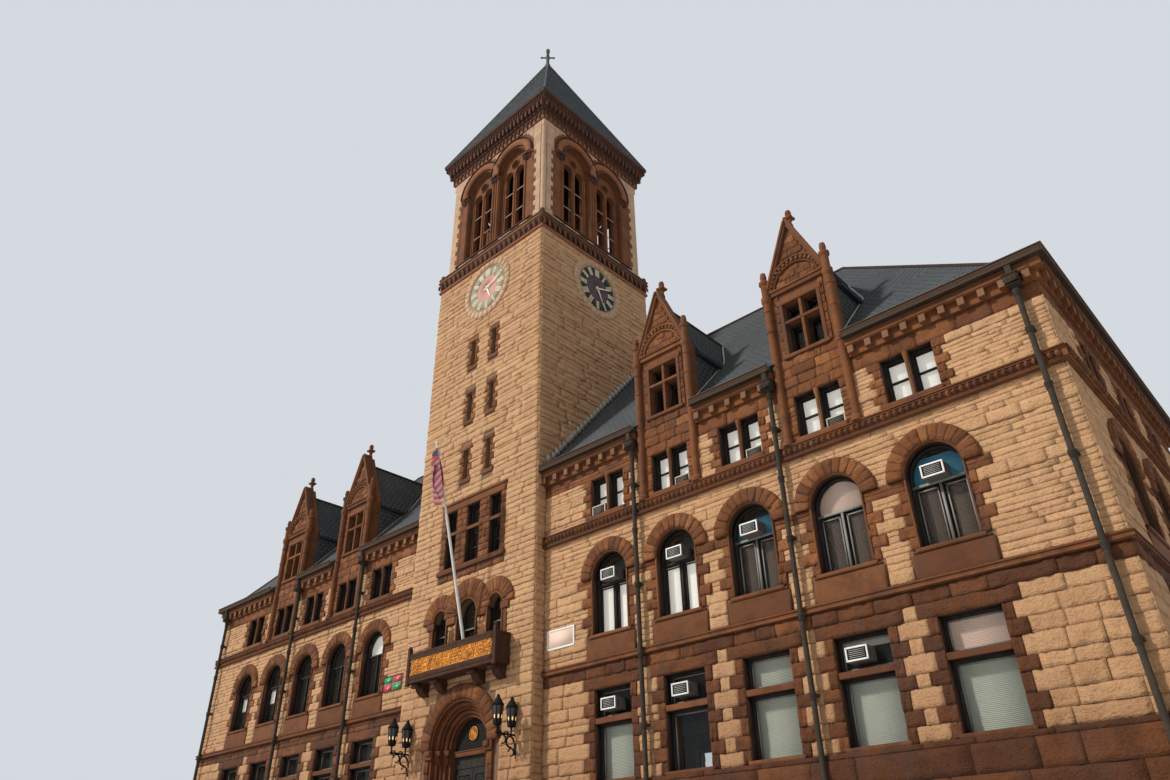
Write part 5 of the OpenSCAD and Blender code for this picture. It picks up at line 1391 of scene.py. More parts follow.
@dataclass
class SlateRoof(Part):
    """Slates in staggered rows over the main roof, the dormers and the tower.

    Args:
        exposure: height of a row.
        width: width of a slate.
        thick: rise of a slate's lower edge.
    """

    exposure: float = 0.1
    width: float = 0.135
    thick: float = 0.007
    tower_half: float = 2.08
    tower_foot: float = 18.51
    tower_rise: float = 4.75
    gable_rise: float = 1.275
    rng: random.Random = field(default_factory=lambda: random.Random(13))

    def cover(self, name: str, slopes: Sequence[tuple[Slope, Callable[[float], list[Pair]]]]) -> None:
        """Lays one heap of slates.

        Args:
            name: the piece's name.
            slopes: each plane, with what gives the stretches of a row at a distance up it.
        """
        pile = self.heap(name, Finish.SLATE)
        for slope, stretches in slopes:
            basis, rows = slope.basis(), int(slope.length / self.exposure)
            step = slope.length / max(1, rows)
            for row in range(rows):
                v = (row + 0.5) * step
                for a, b in stretches(v):
                    self.row(pile, basis, a, b, v, step, row)

    def row(self, pile: Pile, basis: Matrix, a: float, b: float, v: float, step: float, row: int) -> None:
        """Lays the slates of one stretch of a row."""
        u = a - (self.width * 0.5 if row % 2 else 0.0)
        while u < b - 0.005:
            left, right = max(u, a), min(u + self.width, b)
            if right - left > 0.012:
                size = Matrix.Diagonal((right - left - 0.004, step * self.rng.uniform(0.97, 1.05),
                    self.thick * self.rng.uniform(0.85, 1.15), 1.0))
                place = Matrix.Translation(((left + right) / 2, v + self.rng.uniform(-0.002, 0.002), 0.001))
                pile.add("slate", basis @ place @ size, self.rng.random())
            u += self.width

    def work(self) -> None:
        """Covers every slope."""
        for side, sign in (("front", -1), ("back", 1)):
            self.cover_main(side, sign)
        self.cover_ends()
        self.cover_dormers()
        self.cover_tower()

    def cover_main(self, side: str, sign: int) -> None:
        """The long front or back slope, in its lower and upper pitch, with u = 0 at its middle."""
        kick = Slope((0, -EAVES_OUT if sign < 0 else DEPTH + EAVES_OUT, EAVES), (0, sign), 0.34, 0.29)
        main = Slope((0, KINK_IN if sign < 0 else DEPTH - KINK_IN, KINK), (0, sign), 3.2, 3.75)

        def free(half: float, z: float) -> list[Pair]:
            """What the tower and the dormers leave of a row at a height."""
            low, high, holes = z - 0.04, z + 0.04, []
            if sign < 0 or high > roof_at(TOWER_BACK) - 0.02:
                holes.append(TOWER_RUN)
            for c in ALL_DORMERS if sign < 0 else ():
                wide = 0.575 if low < 8.8 else max(0.0, 0.65 * (10.075 - high) / self.gable_rise)
                if wide > 0.0:
                    holes.append((c - wide, c + wide))
            starts, ends = [-half, *(b for _, b in sorted(holes))], [*(a for a, _ in sorted(holes)), half]
            return [(a, b) if sign < 0 else (-b, -a) for a, b in zip(starts, ends) if b - a > 0.02]

        self.cover(f"{side}_slates", [(kick, lambda v: free(kick.taper(11.41, 10.75, v), kick.height(v))),
            (main, lambda v: free(main.taper(10.75, 7.4, v), main.height(v)))])

    def cover_ends(self) -> None:
        """The hipped end slopes."""
        slopes = []
        for sign in (-1, 1):
            kick = Slope((sign * (HALF + EAVES_OUT), DEPTH / 2, EAVES), (sign, 0), 0.66, 0.29)
            main = Slope((sign * (HALF - 0.52), DEPTH / 2, KINK), (sign, 0), 3.35, 3.75)
            for slope, foot, top in ((kick, 3.54, 3.2), (main, 3.2, 0.0)):
                slopes.append((slope, lambda v, s=slope, f=foot, t=top: [(-s.taper(f, t, v), s.taper(f, t, v))]))
        self.cover("end_slates", slopes)

    def cover_dormers(self) -> None:
        """The roofs and cheeks of the dormers."""
        slopes = []
        for c in ALL_DORMERS:
            for sign in (-1, 1):
                for plane in (Slope((c + sign * 0.65, 0.0, 8.8), (sign, 0), 0.65, self.gable_rise),
                        Slope((c + sign * DORMER_HALF, 0.0, 7.7), (sign, 0), 0.0, 1.06)):
                    def reach(v: float, plane: Slope = plane, sign: int = sign) -> list[Pair]:
                        """The stretch between the dormer's front and the main roof."""
                        far = depth_at(plane.height(v)) - 0.02
                        return [(0.285, far) if sign > 0 else (-far, -0.285)] if far > 0.32 else []
                    slopes.append((plane, reach))
        self.cover("dormer_slates", slopes)

    def cover_tower(self) -> None:
        """The four faces of the pyramid."""
        half, slopes = self.tower_half, []
        for out in COMPASS:
            face = Slope((out[0] * half, TOWER_MID + out[1] * half, self.tower_foot), out, half, self.tower_rise)
            slopes.append((face, lambda v, f=face: [(-f.taper(half, 0.0, v), f.taper(half, 0.0, v))]
                if v < f.length - 0.12 else []))
        self.cover("tower_slates", slopes)


@dataclass
class RoofLines(Part):
    """Ridge caps, hip rolls and the stepped flashing where the roof meets the tower."""

    radius: float = 0.035
    ridge_end: float = 7.4
    kink_end: float = 10.75
    eaves_end: float = 11.41
    step: float = 0.125

    def work(self) -> None:
        """Lays the caps and flashings."""
        caps = self.heap("ridge_caps", Finish.COPPER, 40)
        lead = self.heap("flashings", Finish.LEAD)
        hips = self.heap("tower_hips", Finish.SLATE, 40)
        top = RIDGE + 0.015
        lines = [((-self.ridge_end, RIDGE_IN, top), (-1.95, RIDGE_IN, top)),
            ((1.95, RIDGE_IN, top), (self.ridge_end, RIDGE_IN, top))]
        for sx in (-1, 1):
            for kink, eaves in ((KINK_IN, -EAVES_OUT), (DEPTH - KINK_IN, DEPTH + EAVES_OUT)):
                bend = (sx * self.kink_end, kink, 7.83)
                lines += [((sx * self.ridge_end, RIDGE_IN, 11.58), bend), (bend, (sx * self.eaves_end, eaves, 7.54))]
        lines += [((c, 0.28, 10.085), (c, depth_at(10.075), 10.085)) for c in ALL_DORMERS]
        for a, b in lines:
            caps.add("rod", rod(a, b, self.radius))
        for x, y in ((-1, -1), (1, -1), (1, 1), (-1, 1)):
            foot, tip = ((x * r, TOWER_MID + y * r, z) for r, z in ((2.08, 18.515), (0.05, 23.155)))
            hips.add("rod", rod(foot, tip, 0.022), 0.3)
        for sign, side in ((-1, "left"), (1, "right")):
            z = 7.7
            while z < 11.4:
                u = sign * (depth_at(z) - TOWER_MID) - 0.02 * sign
                lead.plate(TOWER_SIDES[side], u, z + 0.10, 0.034, 0.13, 0.13, 0.006)
                z += self.step
        for c in ALL_DORMERS:
            for s in (-1, 1):
                shoulder = (c + s * 0.60, depth_at(8.95) + 0.01, 8.965)
                lead.add("rod", rod(shoulder, (c, depth_at(10.10), 10.115), 0.020))
                lead.add("rod", rod((c + s * 0.575, 0.10, 7.76), shoulder, 0.014))


@dataclass
class Belfry(Part):
    """Stones, shafts, capitals, arch rolls and cornice blocks of the open belfry and the course under it."""

    half: float = 1.825
    floor: float = 14.335
    spring: float = 16.9
    top: float = 17.765
    arch: float = 0.625
    pier: float = 0.375
    corbels: int = 21
    inside: float = -0.12
    leaf_level: float = 16.735
    cap_level: float = 16.865

    def work(self) -> None:
        """Lays and dresses the four sides."""
        self.buff = self.heap("belfry_pier_stones", Finish.BUFF_SMOOTH)
        self.brown = self.heap("belfry_stones", Finish.BROWN)
        self.trim = self.heap("belfry_dressings", Finish.BROWN_SMOOTH)
        self.dark = self.heap("belfry_capitals", Finish.BROWN_DARK)
        self.lead = self.heap("belfry_flashing", Finish.TAN, slot="pipe_paint")
        self.round = self.heap("belfry_hoods", Finish.BROWN_WARM, 40)
        # Pale strips along the top of the belfry course, in peach that glows: painted light.
        self.flash = self.heap("belfry_pale_flashing", Finish.PEACH, slot="pipe_paint")
        # Dark plates between the corbels of the course: painted shade in its hollows.
        self.soot = self.heap("belfry_course_hollows", Finish.DARK)
        self.make_shapes()
        for index, out in enumerate(COMPASS):
            self.wall = tower_wall(out, self.half)
            mason = Mason(self.wall, self.buff, self.brown, "chip", 0.0035, random.Random(60 + index))
            self.lay_piers(mason)
            for s in (-1, 1):
                self.dress_arch(s * self.arch)
            self.dress_middle()
            self.dress_cornice()
            self.dress_belt(tower_wall(out))

    def make_shapes(self) -> None:
        """The rolls and the small arches."""
        for name, radius, wide, out in (("belfry_hood", 0.795, 0.035, 0.06), ("belfry_inner", 0.500, 0.035, 0.04),
                ("belfry_broad", 0.672, 0.19, 0.055)):
            half = [(-wide / 2, -0.01), (-wide / 2, 0.3 * out), (-0.36 * wide, 0.72 * out), (-0.17 * wide, 0.95 * out)]
            SHAPES.arch(name, radius, [*half, (0.0, out), *((-r, w) for r, w in reversed(half))], 28)
        small = roll(0.0, 0.026, 0.0, 0.018, (0.012, 0.03))
        SHAPES.arch("lancet_roll", 0.14, small, 14)
        SHAPES.arch("eye_roll", 0.12, small, 18, FULL_TURN)
        SHAPES.turn("belfry_mullion", [(0.034, 0.0), (0.034, 0.05), (0.022, 0.08), (0.021, 1.90), (0.032, 1.92),
            (0.024, 1.95), (0.036, 2.05), (0.044, 2.10), (0.044, 2.13)], 10)

    def lay_piers(self, mason: Mason) -> None:
        """Buff stones with brown teeth on the corner piers, and buff stones over the hoods."""
        outer, inner, foot = self.half - 0.11, self.half - self.pier, self.floor + 0.2
        for s in (-1, 1):
            for i, (low, high) in enumerate(pairwise(courses(foot, self.top, 20))):
                tooth = (0.035, 0.105)[i % 2] if high < self.spring + 0.05 else 0.0
                mid, tall, wide = (low + high) / 2, high - low, outer - inner - tooth
                self.buff.block(self.wall, s * (inner + tooth + outer) / 2, mid, 0.0,
                    wide - 0.002, tall - 0.003, 0.006)
                if tooth:
                    self.brown.block(self.wall, s * (inner + tooth / 2 - 0.025), mid, 0.0,
                        tooth + 0.05, tall - 0.004, 0.008)
            mason.stone(self.buff, *sorted((s * inner, s * self.half)), self.floor, foot, 0.02)
        hoods = [Hole(s * self.arch, 0.82, self.spring - 0.1, self.spring, 0.82) for s in (-1, 1)]
        mason.lay((-inner, inner), courses(self.spring, self.top, 9), hoods, 0.34, 0.016)

    def leaves(self, u: float, count: int, pitch: float, w: float, wide: float, out: float) -> None:
        """A row of the leaves of a capital."""
        for k in range(count):
            self.dark.put("leaf", self.wall, u + (k - (count - 1) / 2) * pitch, self.leaf_level, w, (wide, 0.17, out))

    def dress_arch(self, c: float) -> None:
        """Rolls, capitals and bars of one arch with its two lancets."""
        wall, spring, inside = self.wall, self.spring, self.inside
        for pile, shape, w in ((self.dark, "belfry_hood", 0.03), (self.round, "belfry_broad", 0.026),
                (self.dark, "belfry_inner", 0.0)):
            pile.put(shape, wall, c, spring, w)
        for s in (-1, 1):
            self.dark.block(wall, c + s * 0.55, self.cap_level, 0.0, 0.17, 0.07, 0.085)
            self.leaves(c + s * 0.55, 4, 0.038, 0.02, 0.05, 0.055)
        for v in (15.32, 16.02):
            self.buff.put("eased", wall, c, v, inside - 0.03, (0.84, 0.018, 0.02), tint=0.1)
        for s in (-1, 1):
            self.trim.put("lancet_roll", wall, c + s * 0.205, spring - 0.24, inside)
            self.trim.block(wall, c + s * 0.415, 15.72, inside - 0.01, 0.05, 1.9, 0.03)
        self.trim.put("eye_roll", wall, c, spring + 0.1, inside)
        self.round.put("belfry_mullion", wall, c, self.floor + 0.2, inside + 0.012)

    def dress_middle(self) -> None:
        """The capitals of the middle pier, the feet of the hoods and the sills."""
        wide = 2 * (self.half - self.pier)
        self.leaves(0.0, 3, 0.04, 0.02, 0.05, 0.07)
        self.dark.block(self.wall, 0.0, self.cap_level, 0.0, 0.13, 0.07, 0.095)
        for s in (-1, 1):
            self.leaves(s * 1.28, 3, 0.05, 0.012, 0.055, 0.045)
            self.dark.block(self.wall, s * 1.28, self.cap_level, 0.0, 0.2, 0.07, 0.06)
        self.trim.block(self.wall, 0.0, self.floor + 0.1, 0.0, wide, 0.18, 0.04)
        self.dark.block(self.wall, 0.0, self.floor + 0.2, 0.0, wide, 0.035, 0.07)

    def dress_cornice(self) -> None:
        """Brown plates behind the small arcade, and the lines and small teeth under the tower eaves."""
        wall, span, reach = self.wall, self.half + 0.03, self.half + 0.195
        self.round.plate(wall, 0.0, self.top + 0.1, 0.03, 2 * span, 0.19, 0.004, 0.3)
        self.dark.block(wall, 0.0, self.top + 0.25, 0.03, 2 * span + 0.07, 0.025, 0.06)
        self.dark.block(wall, 0.0, self.top + 0.285, 0.03, 2 * span + 0.17, 0.03, 0.085)
        for u in courses(-reach, reach, int(2 * reach / 0.09)):
            self.dark.block(wall, u, 18.345, 0.19, 0.04, 0.06, 0.04)
        self.dark.block(wall, 0.0, 18.435, 0.19, 4.12, 0.02, 0.058)
        self.dark.block(wall, 0.0, 18.485, 0.19, 4.17, 0.03, 0.068)

    def dress_belt(self, wall: Wall) -> None:
        """The mouldings, leaves, buds and flashing of the course under the belfry."""
        for pile, v, high, out in ((self.round, 13.905, 0.07, 0.052), (self.trim, 14.22, 0.05, 0.075)):
            pile.block(wall, 0.0, v, 0.0, 2 * TOWER_HALF + 2 * out, high, out)
        self.lead.block(wall, 0.0, 14.325, 0.0, 2 * TOWER_HALF + 0.15, 0.022, 0.075)
        reach = TOWER_HALF - 0.035
        for u in courses(-reach, reach, self.corbels):
            self.trim.put("leaf", wall, u - 0.022, 14.085, 0.05, (0.085, 0.19, 0.04), 0.25)
            self.trim.put("bud", wall, u + 0.03, 14.145, 0.055, (0.05, 0.05, 0.05))
            self.soot.plate(wall, u + reach / self.corbels, 14.075, 0.062, 0.055, 0.13, 0.002)
        for u, length in ((-1.45, 0.34), (-0.93, 0.5), (-0.28, 0.22), (0.62, 0.46), (1.3, 0.25)):
            self.flash.plate(wall, u, 14.342, 0.05, length, 0.012, 0.028)


class Backing(Enum):
    """What stands behind the glass of a light: its name and finish. Peach and teal stand for a painted reflection of
    the sky.
    """

    WHITE = "white", Finish.BLIND
    GREEN = "green", Finish.SCREEN
    BROWN = "brown", Finish.SHADE
    PEACH = "peach", Finish.PEACH
    TEAL = "teal", Finish.TEAL


@dataclass
class Windows(Part):
    """Sashes, meeting rails, reveals darkened by painted shade, and slatted blinds of every window, with a painted sky
    reflection in some round heads.

    Args:
        arch_bar: height of the bar under the round heads.
        slat_pitch, blind_gap: distance from slat to slat, and from the glass to the blind.
        sash, sash_out: width and depth of a sash's bars.
        frame_out: how far the frame's face stands behind the wall's.
        known: what shows behind the glass of the right wing's bays: the ground light, the bar light, the arched
        and top lights, all from 0 to 1, the arched lights' backing, whether their sashes are pale, and the share of
        the round head under a painted sky reflection.
    """

    arch_bar: float = 4.864
    slat_pitch: float = 0.021
    blind_gap: float = 0.026
    sash: float = 0.018
    sash_out: float = 0.026
    frame_out: float = -0.125
    known: Sequence[tuple] = ((0.97, 0.0, 0.95, 0.97, Backing.WHITE, False, 0.0),
        (0.0, 0.0, 0.95, 0.97, Backing.WHITE, False, 0.0), (0.97, 1.0, 0.97, 0.97, Backing.BROWN, True, 0.6),
        (0.97, 0.3, 0.97, 0.97, Backing.BROWN, True, 1.0), (0.97, 1.0, 0.97, 0.97, Backing.BROWN, True, 0.8))

    def work(self) -> None:
        """Fills every window."""
        self.dark = self.heap("sashes", Finish.WINDOW)
        self.pale = self.heap("pale_sashes", Finish.WINDOW_PALE)
        # Painted shade: dark plates on the reveals, and an arch of them under each round head.
        self.reveals = self.heap("window_reveals", Finish.BROWN_DEEP)
        self.backing_slats = {kind: self.heap(kind.value[0] + "_backing_slats", kind.value[1]) for kind in Backing}
        SHAPES.arch("arch_reveal", WINDOW_HALF, [(-0.003, self.frame_out), (-0.003, -0.004), (0.0, -0.004)], 20)
        rng = random.Random(23)
        across = sorted(s * c for s in (-1, 1) for c in (*BACK_MIDDLES, *BAYS))
        for i, u in enumerate(BAYS):
            self.fill_bay(FRONT, u, rng, i)
        for wall, middles in ((FRONT, [-c for c in BAYS]), (BACK, [HALF - x for x in across]), (RIGHT_END, END_BAYS),
                (LEFT_END, END_BAYS)):
            for u in middles:
                self.fill_bay(wall, u, rng, None)
        for c in (s * c for c in DORMERS for s in (-1, 1)):
            for k in (-1, 1):
                for low, high in ((DORMER_SILL, DORMER_BAR - 0.03), (DORMER_BAR + 0.03, DORMER_HEAD)):
                    self.fill(FRONT, c + k * 0.17, 0.14, low, high, depth=0.12)
        self.crown(FRONT, -BAYS[0], 0.9, Backing.WHITE)
        self.fill_tower()

    def fill_bay(self, wall: Wall, u: float, rng: random.Random, index: int | None) -> None:
        """Fills the lights of one bay, from the ground storey to the top one.

        Args:
            wall, u: where the bay is.
            rng: the source of the other bays' blinds.
            index: the bay's number on the right wing, whose blinds are known, or None.
        """
        if index is None:
            ground, upper = rng.choice((0.0, 0.0, 0.4)), rng.choice((0.0, 0.0, 0.5))
            arched, top = rng.choice((0.0, 0.0, 0.0, 0.4)), rng.choice((0.0, 0.5))
            style, pale, crown = Backing.WHITE, False, 0.0
        else:
            ground, upper, arched, top, style, pale, crown = self.known[index]
        self.fill(wall, u, WINDOW_HALF, PLINTH_TOP, FIRST_BAR - 0.04, ground, pale=True, backing=Backing.GREEN)
        self.fill(wall, u, WINDOW_HALF, FIRST_BAR + 0.04, FIRST_HEAD, upper, pale=True,
            backing=Backing.PEACH if index == 4 else Backing.GREEN)
        for s in (-1, 1):
            self.fill(wall, u + s * 0.196, 0.18, SECOND_SILL, self.arch_bar, arched, 0.0, pale, backing=style)
            self.fill(wall, u + s * 0.211, 0.181, THIRD_SILL, THIRD_HEAD,
                top if s > 0 or index is not None else 0.0, 6.55)
        bars = self.pale if pale else self.dark
        for pile, v, w, wide, tall, out in (
                (bars, self.arch_bar + 0.018, -0.129, 2 * WINDOW_HALF - 0.01, 0.038, 0.006),
                (bars, (SECOND_SILL + self.arch_bar) / 2, -0.129, 0.036, self.arch_bar - SECOND_SILL, 0.006),
                (self.pale, SECOND_SILL + 0.02, -0.128, 2 * WINDOW_HALF, 0.03, 0.012),
                (self.pale, PLINTH_TOP + 0.06, -0.128, 2 * WINDOW_HALF, 0.02, 0.008)):
            pile.plate(wall, u, v, w, wide, tall, out)
        # Peach and teal crowns are painted reflections of the sky, not blinds.
        if crown:
            self.crown(wall, u, crown, Backing.PEACH if crown == 1.0 else Backing.TEAL)
        self.line(wall, u, WINDOW_HALF, PLINTH_TOP, FIRST_BAR - 0.0425)
        self.line(wall, u, WINDOW_HALF, FIRST_BAR + 0.0425, FIRST_HEAD)
        for s in (-1, 1):
            self.line(wall, u + s * 0.211, 0.181, THIRD_SILL, THIRD_HEAD)
        self.line(wall, u, WINDOW_HALF, SECOND_SILL, SECOND_SPRING, False)
        self.reveals.put("arch_reveal", wall, u, SECOND_SPRING)

    def line(self, wall: Wall, u: float, half: float, low: float, high: float, head: bool = True) -> None:
        """Dark faces on the sides and head of an opening, in front of its frame: painted shade."""
        for s in (-1, 1):
            self.reveals.plate(wall, u + s * (half - 0.0015), (low + high) / 2, self.frame_out,
                0.003, high - low, 0.121)
        if head:
            self.reveals.plate(wall, u, high - 0.0015, self.frame_out, 2 * half, 0.003, 0.121)

    def slat(self, backing: Backing, wall: Wall, u: float, v: float, depth: float, wide: float) -> None:
        """One slat behind the glass; peach and teal slats make up a painted reflection of the sky."""
        self.backing_slats[backing].put("slat", wall, u, v, -depth - self.blind_gap, (wide, 1, 1), tint=0.5)

    def crown(self, wall: Wall, u: float, part: float, backing: Backing) -> None:
        """Slats behind the round head of an arched window, over part of its height; white ones are a blind, peach and
        teal ones a painted reflection of the sky.
        """
        for _, v in pairwise(courses(4.91, SECOND_SPRING + 0.355 * part, max(4, int(20 * part)))):
            reach = chord(0.365, max(0.0, v - SECOND_SPRING))
            if reach > 0.02:
                self.slat(backing, wall, u, v, 0.18, 2 * reach)

    def fill_tower(self) -> None:
        """The sashes, rails and reveals of the tower's round-headed and tall windows."""
        wall, rail = TOWER_SIDES["front"], 4.72
        for u, half, _ in TowerShaft.triple:
            self.fill(wall, u, half, SECOND_SILL, SECOND_SPRING, 0.0, rail)
            self.pale.plate(wall, u, rail, self.frame_out, 2 * half, 0.022, 0.012)
            self.line(wall, u, half, SECOND_SILL, SECOND_SPRING, False)
        for u, half in TowerShaft.group:
            self.fill(wall, u, half, 6.07, 6.78, 0.0, 6.42)
            self.line(wall, u, half, *TowerShaft.group_levels)

    def fill(self, wall: Wall, u: float, half: float, low: float, high: float, drop: float = 0.0, rail: float = 0.0,
            pale: bool = False, depth: float = 0.18, backing: Backing = Backing.WHITE) -> None:
        """Adds the sash and the slats behind the glass of one light.

        Args:
            wall: its wall.
            u, half, low, high: its middle, half width, foot and head.
            drop: how much of it the blind covers, from 0 to 1.
            rail: height of its meeting rail, or 0 for none.
            pale: whether its sash is painted pale.
            depth: depth of the glass behind the wall's face.
            backing: the kind of slats behind the glass.
        """
        pile, back, tall = self.pale if pale else self.dark, -depth - 0.002, high - low
        for s in (-1, 1):
            pile.plate(wall, u + s * (half - self.sash / 2 - 0.034), (low + high) / 2, back, self.sash, tall - 0.06,
                self.sash_out)
        for v in (low + 0.045, high - 0.045):
            pile.plate(wall, u, v, back, 2 * half - 0.07, self.sash, self.sash_out)
        if rail:
            self.dark.plate(wall, u, rail, back, 2 * half - 0.05, 0.03, 0.032)
        for i in range(int(tall * drop / self.slat_pitch) if drop > 0.02 else 0):
            self.slat(backing, wall, u, high - 0.02 - i * self.slat_pitch, depth, 2 * half - 0.01)


@dataclass
class Entrance(Part):
    """Arch stones, rolls, colonnettes and panel of the entrance, and the glazing and handles of its doors."""

    wall: Wall = Wall((0.0, -0.275, 0.0), (0, -1))
    panel: Wall = Wall((0.0, 0.085, 0.0), (0, -1))
    leaf: Wall = Wall((0.0, 0.095, 0.0), (0, -1))
    spring: float = 2.575
    radii: Sequence[float] = (0.775, 0.65, 0.525)
    first_step: float = 0.14
    step: float = 0.11
    landing: float = 0.8
    rosette: float = 2.825
    pull_u: float = 0.045

    def work(self) -> None:
        """Dresses the arch, the panel and the two doors."""
        stones = self.heap("entrance_arch_stones", Finish.BROWN)
        self.trim = self.heap("entrance_dressings", Finish.BROWN_SMOOTH)
        mason, inner = Mason(self.wall, stones, stones, rng=random.Random(77)), self.radii[0] + 0.05
        mason.ring(0.0, self.spring, inner, 1.085, 19, 0.04)
        for s in (-1, 1):
            for low, high in pairwise(courses(self.landing, self.spring - 0.17, 7)):
                mason.stone(stones, *sorted((s * inner, s * 0.945)), low, high, 0.035)
            self.slab(s * 0.85, self.spring - 0.085, 0.22, 0.16, 0.045)
        for index, radius in enumerate(self.radii):
            self.dress_order(index, radius, -self.first_step * (index > 0) - self.step * max(0, index - 1))
        self.dress_panel()
        for side, sign in (("left", -1), ("right", 1)):
            self.dress_leaf(side, sign)

    def dress_order(self, index: int, radius: float, w: float) -> None:
        """The roll and capitals of one of the arch's orders, with a line and leaves on the inner ones."""
        curve = SHAPES.arch(f"order_roll_{index}", radius,
            [(-0.004, -0.02), (0.0, 0.012), (0.012, 0.02), (0.024, 0.012), (0.028, -0.02)], 28)
        self.trim.put(curve, self.wall, 0.0, self.spring, w)
        if index:
            line = SHAPES.arch(f"order_line_{index}", radius + 0.075, bar(-0.008, 0.008, -0.01, 0.012), 28)
            self.trim.put(line, self.wall, 0.0, self.spring, w)
        for s in (-1, 1):
            u = s * (radius + 0.045)
            for k in (-0.025, 0.025) if index else ():
                self.trim.put("leaf", self.wall, u + k, self.spring - 0.2, w + 0.03, (0.05, 0.13, 0.05))
            self.trim.block(self.wall, u, self.spring - 0.055, w, 0.13, 0.09, 0.075)

    def dress_panel(self) -> None:
        """A gilded rosette on the dark panel over the doors, the stone bar and the top light."""
        wall, centre = self.panel, self.rosette
        gold = self.heap("panel_ornament", Finish.GOLD)
        trim = self.heap("entrance_bar", Finish.BROWN_SMOOTH)
        for ring, count, offset, wide, tall in ((0.040, 8, 0.0, 0.030, 0.055), (0.084, 16, 0.5, 0.026, 0.042)):
            for i in range(count):
                angle = FULL_TURN * (i + offset) / count
                gold.put("leaf", wall, ring * math.cos(angle), centre + ring * math.sin(angle), 0.012,
                    (wide, tall, 0.012), angle - QUARTER)
        gold.put(SHAPES.arch("rosette_rim", 0.116,
            [(-0.009, 0.0), (-0.006, 0.012), (0.0, 0.016), (0.006, 0.012), (0.009, 0.0)], 32, FULL_TURN),
            wall, 0.0, centre, 0.012)
        gold.put("bud", wall, 0.0, centre, 0.012, (0.03, 0.03, 0.016))
        for v, high, out in ((2.49, 0.075, 0.05), (2.535, 0.02, 0.062), (2.452, 0.016, 0.058)):
            trim.block(wall, 0.0, v, 0.0, 1.03, high, out)
        self.heap("entrance_top_light", Finish.GLASS).plate(wall, 0.0, 2.347, -0.012, 0.9, 0.17, 0.004)

    def dress_leaf(self, side: str, sign: int) -> None:
        """Glass, bars, mouldings and pull of one door, riding on it."""
        wall, body, c = self.leaf, f"{side}_door", sign * 0.236
        glass = self.heap(f"{side}_door_glass", Finish.GLASS, body=body)
        bars = self.heap(f"{side}_door_mouldings", Finish.WINDOW, body=body)
        brass = self.heap(f"{side}_door_pull", Finish.GOLD, 40, body=body)
        glass.plate(wall, c, 1.7375, -0.0085, 0.328, 0.815, 0.003)
        for v0, v1 in ((0.918, 1.238), (1.328, 2.147)):
            for s in (-1, 1):
                bars.block(wall, c + s * 0.158, (v0 + v1) / 2, -0.006, 0.016, v1 - v0, 0.012)
            for v in (v0 + 0.008, v1 - 0.008):
                bars.block(wall, c, v, -0.006, 0.33, 0.016, 0.012)
        bars.block(wall, c, 1.078, -0.007, 0.24, 0.23, 0.010)
        pull = SHAPES.turn("door_pull", [(0.0, -0.1), (0.007, -0.098), (0.006, -0.06), (0.009, 0.0), (0.006, 0.06),
            (0.007, 0.098), (0.0, 0.1)], 12)
        brass.put(pull, wall, sign * self.pull_u, 1.6, 0.026)
        for v in (1.52, 1.68):
            brass.plate(wall, sign * self.pull_u, v, 0.0, 0.008, 0.008, 0.024)


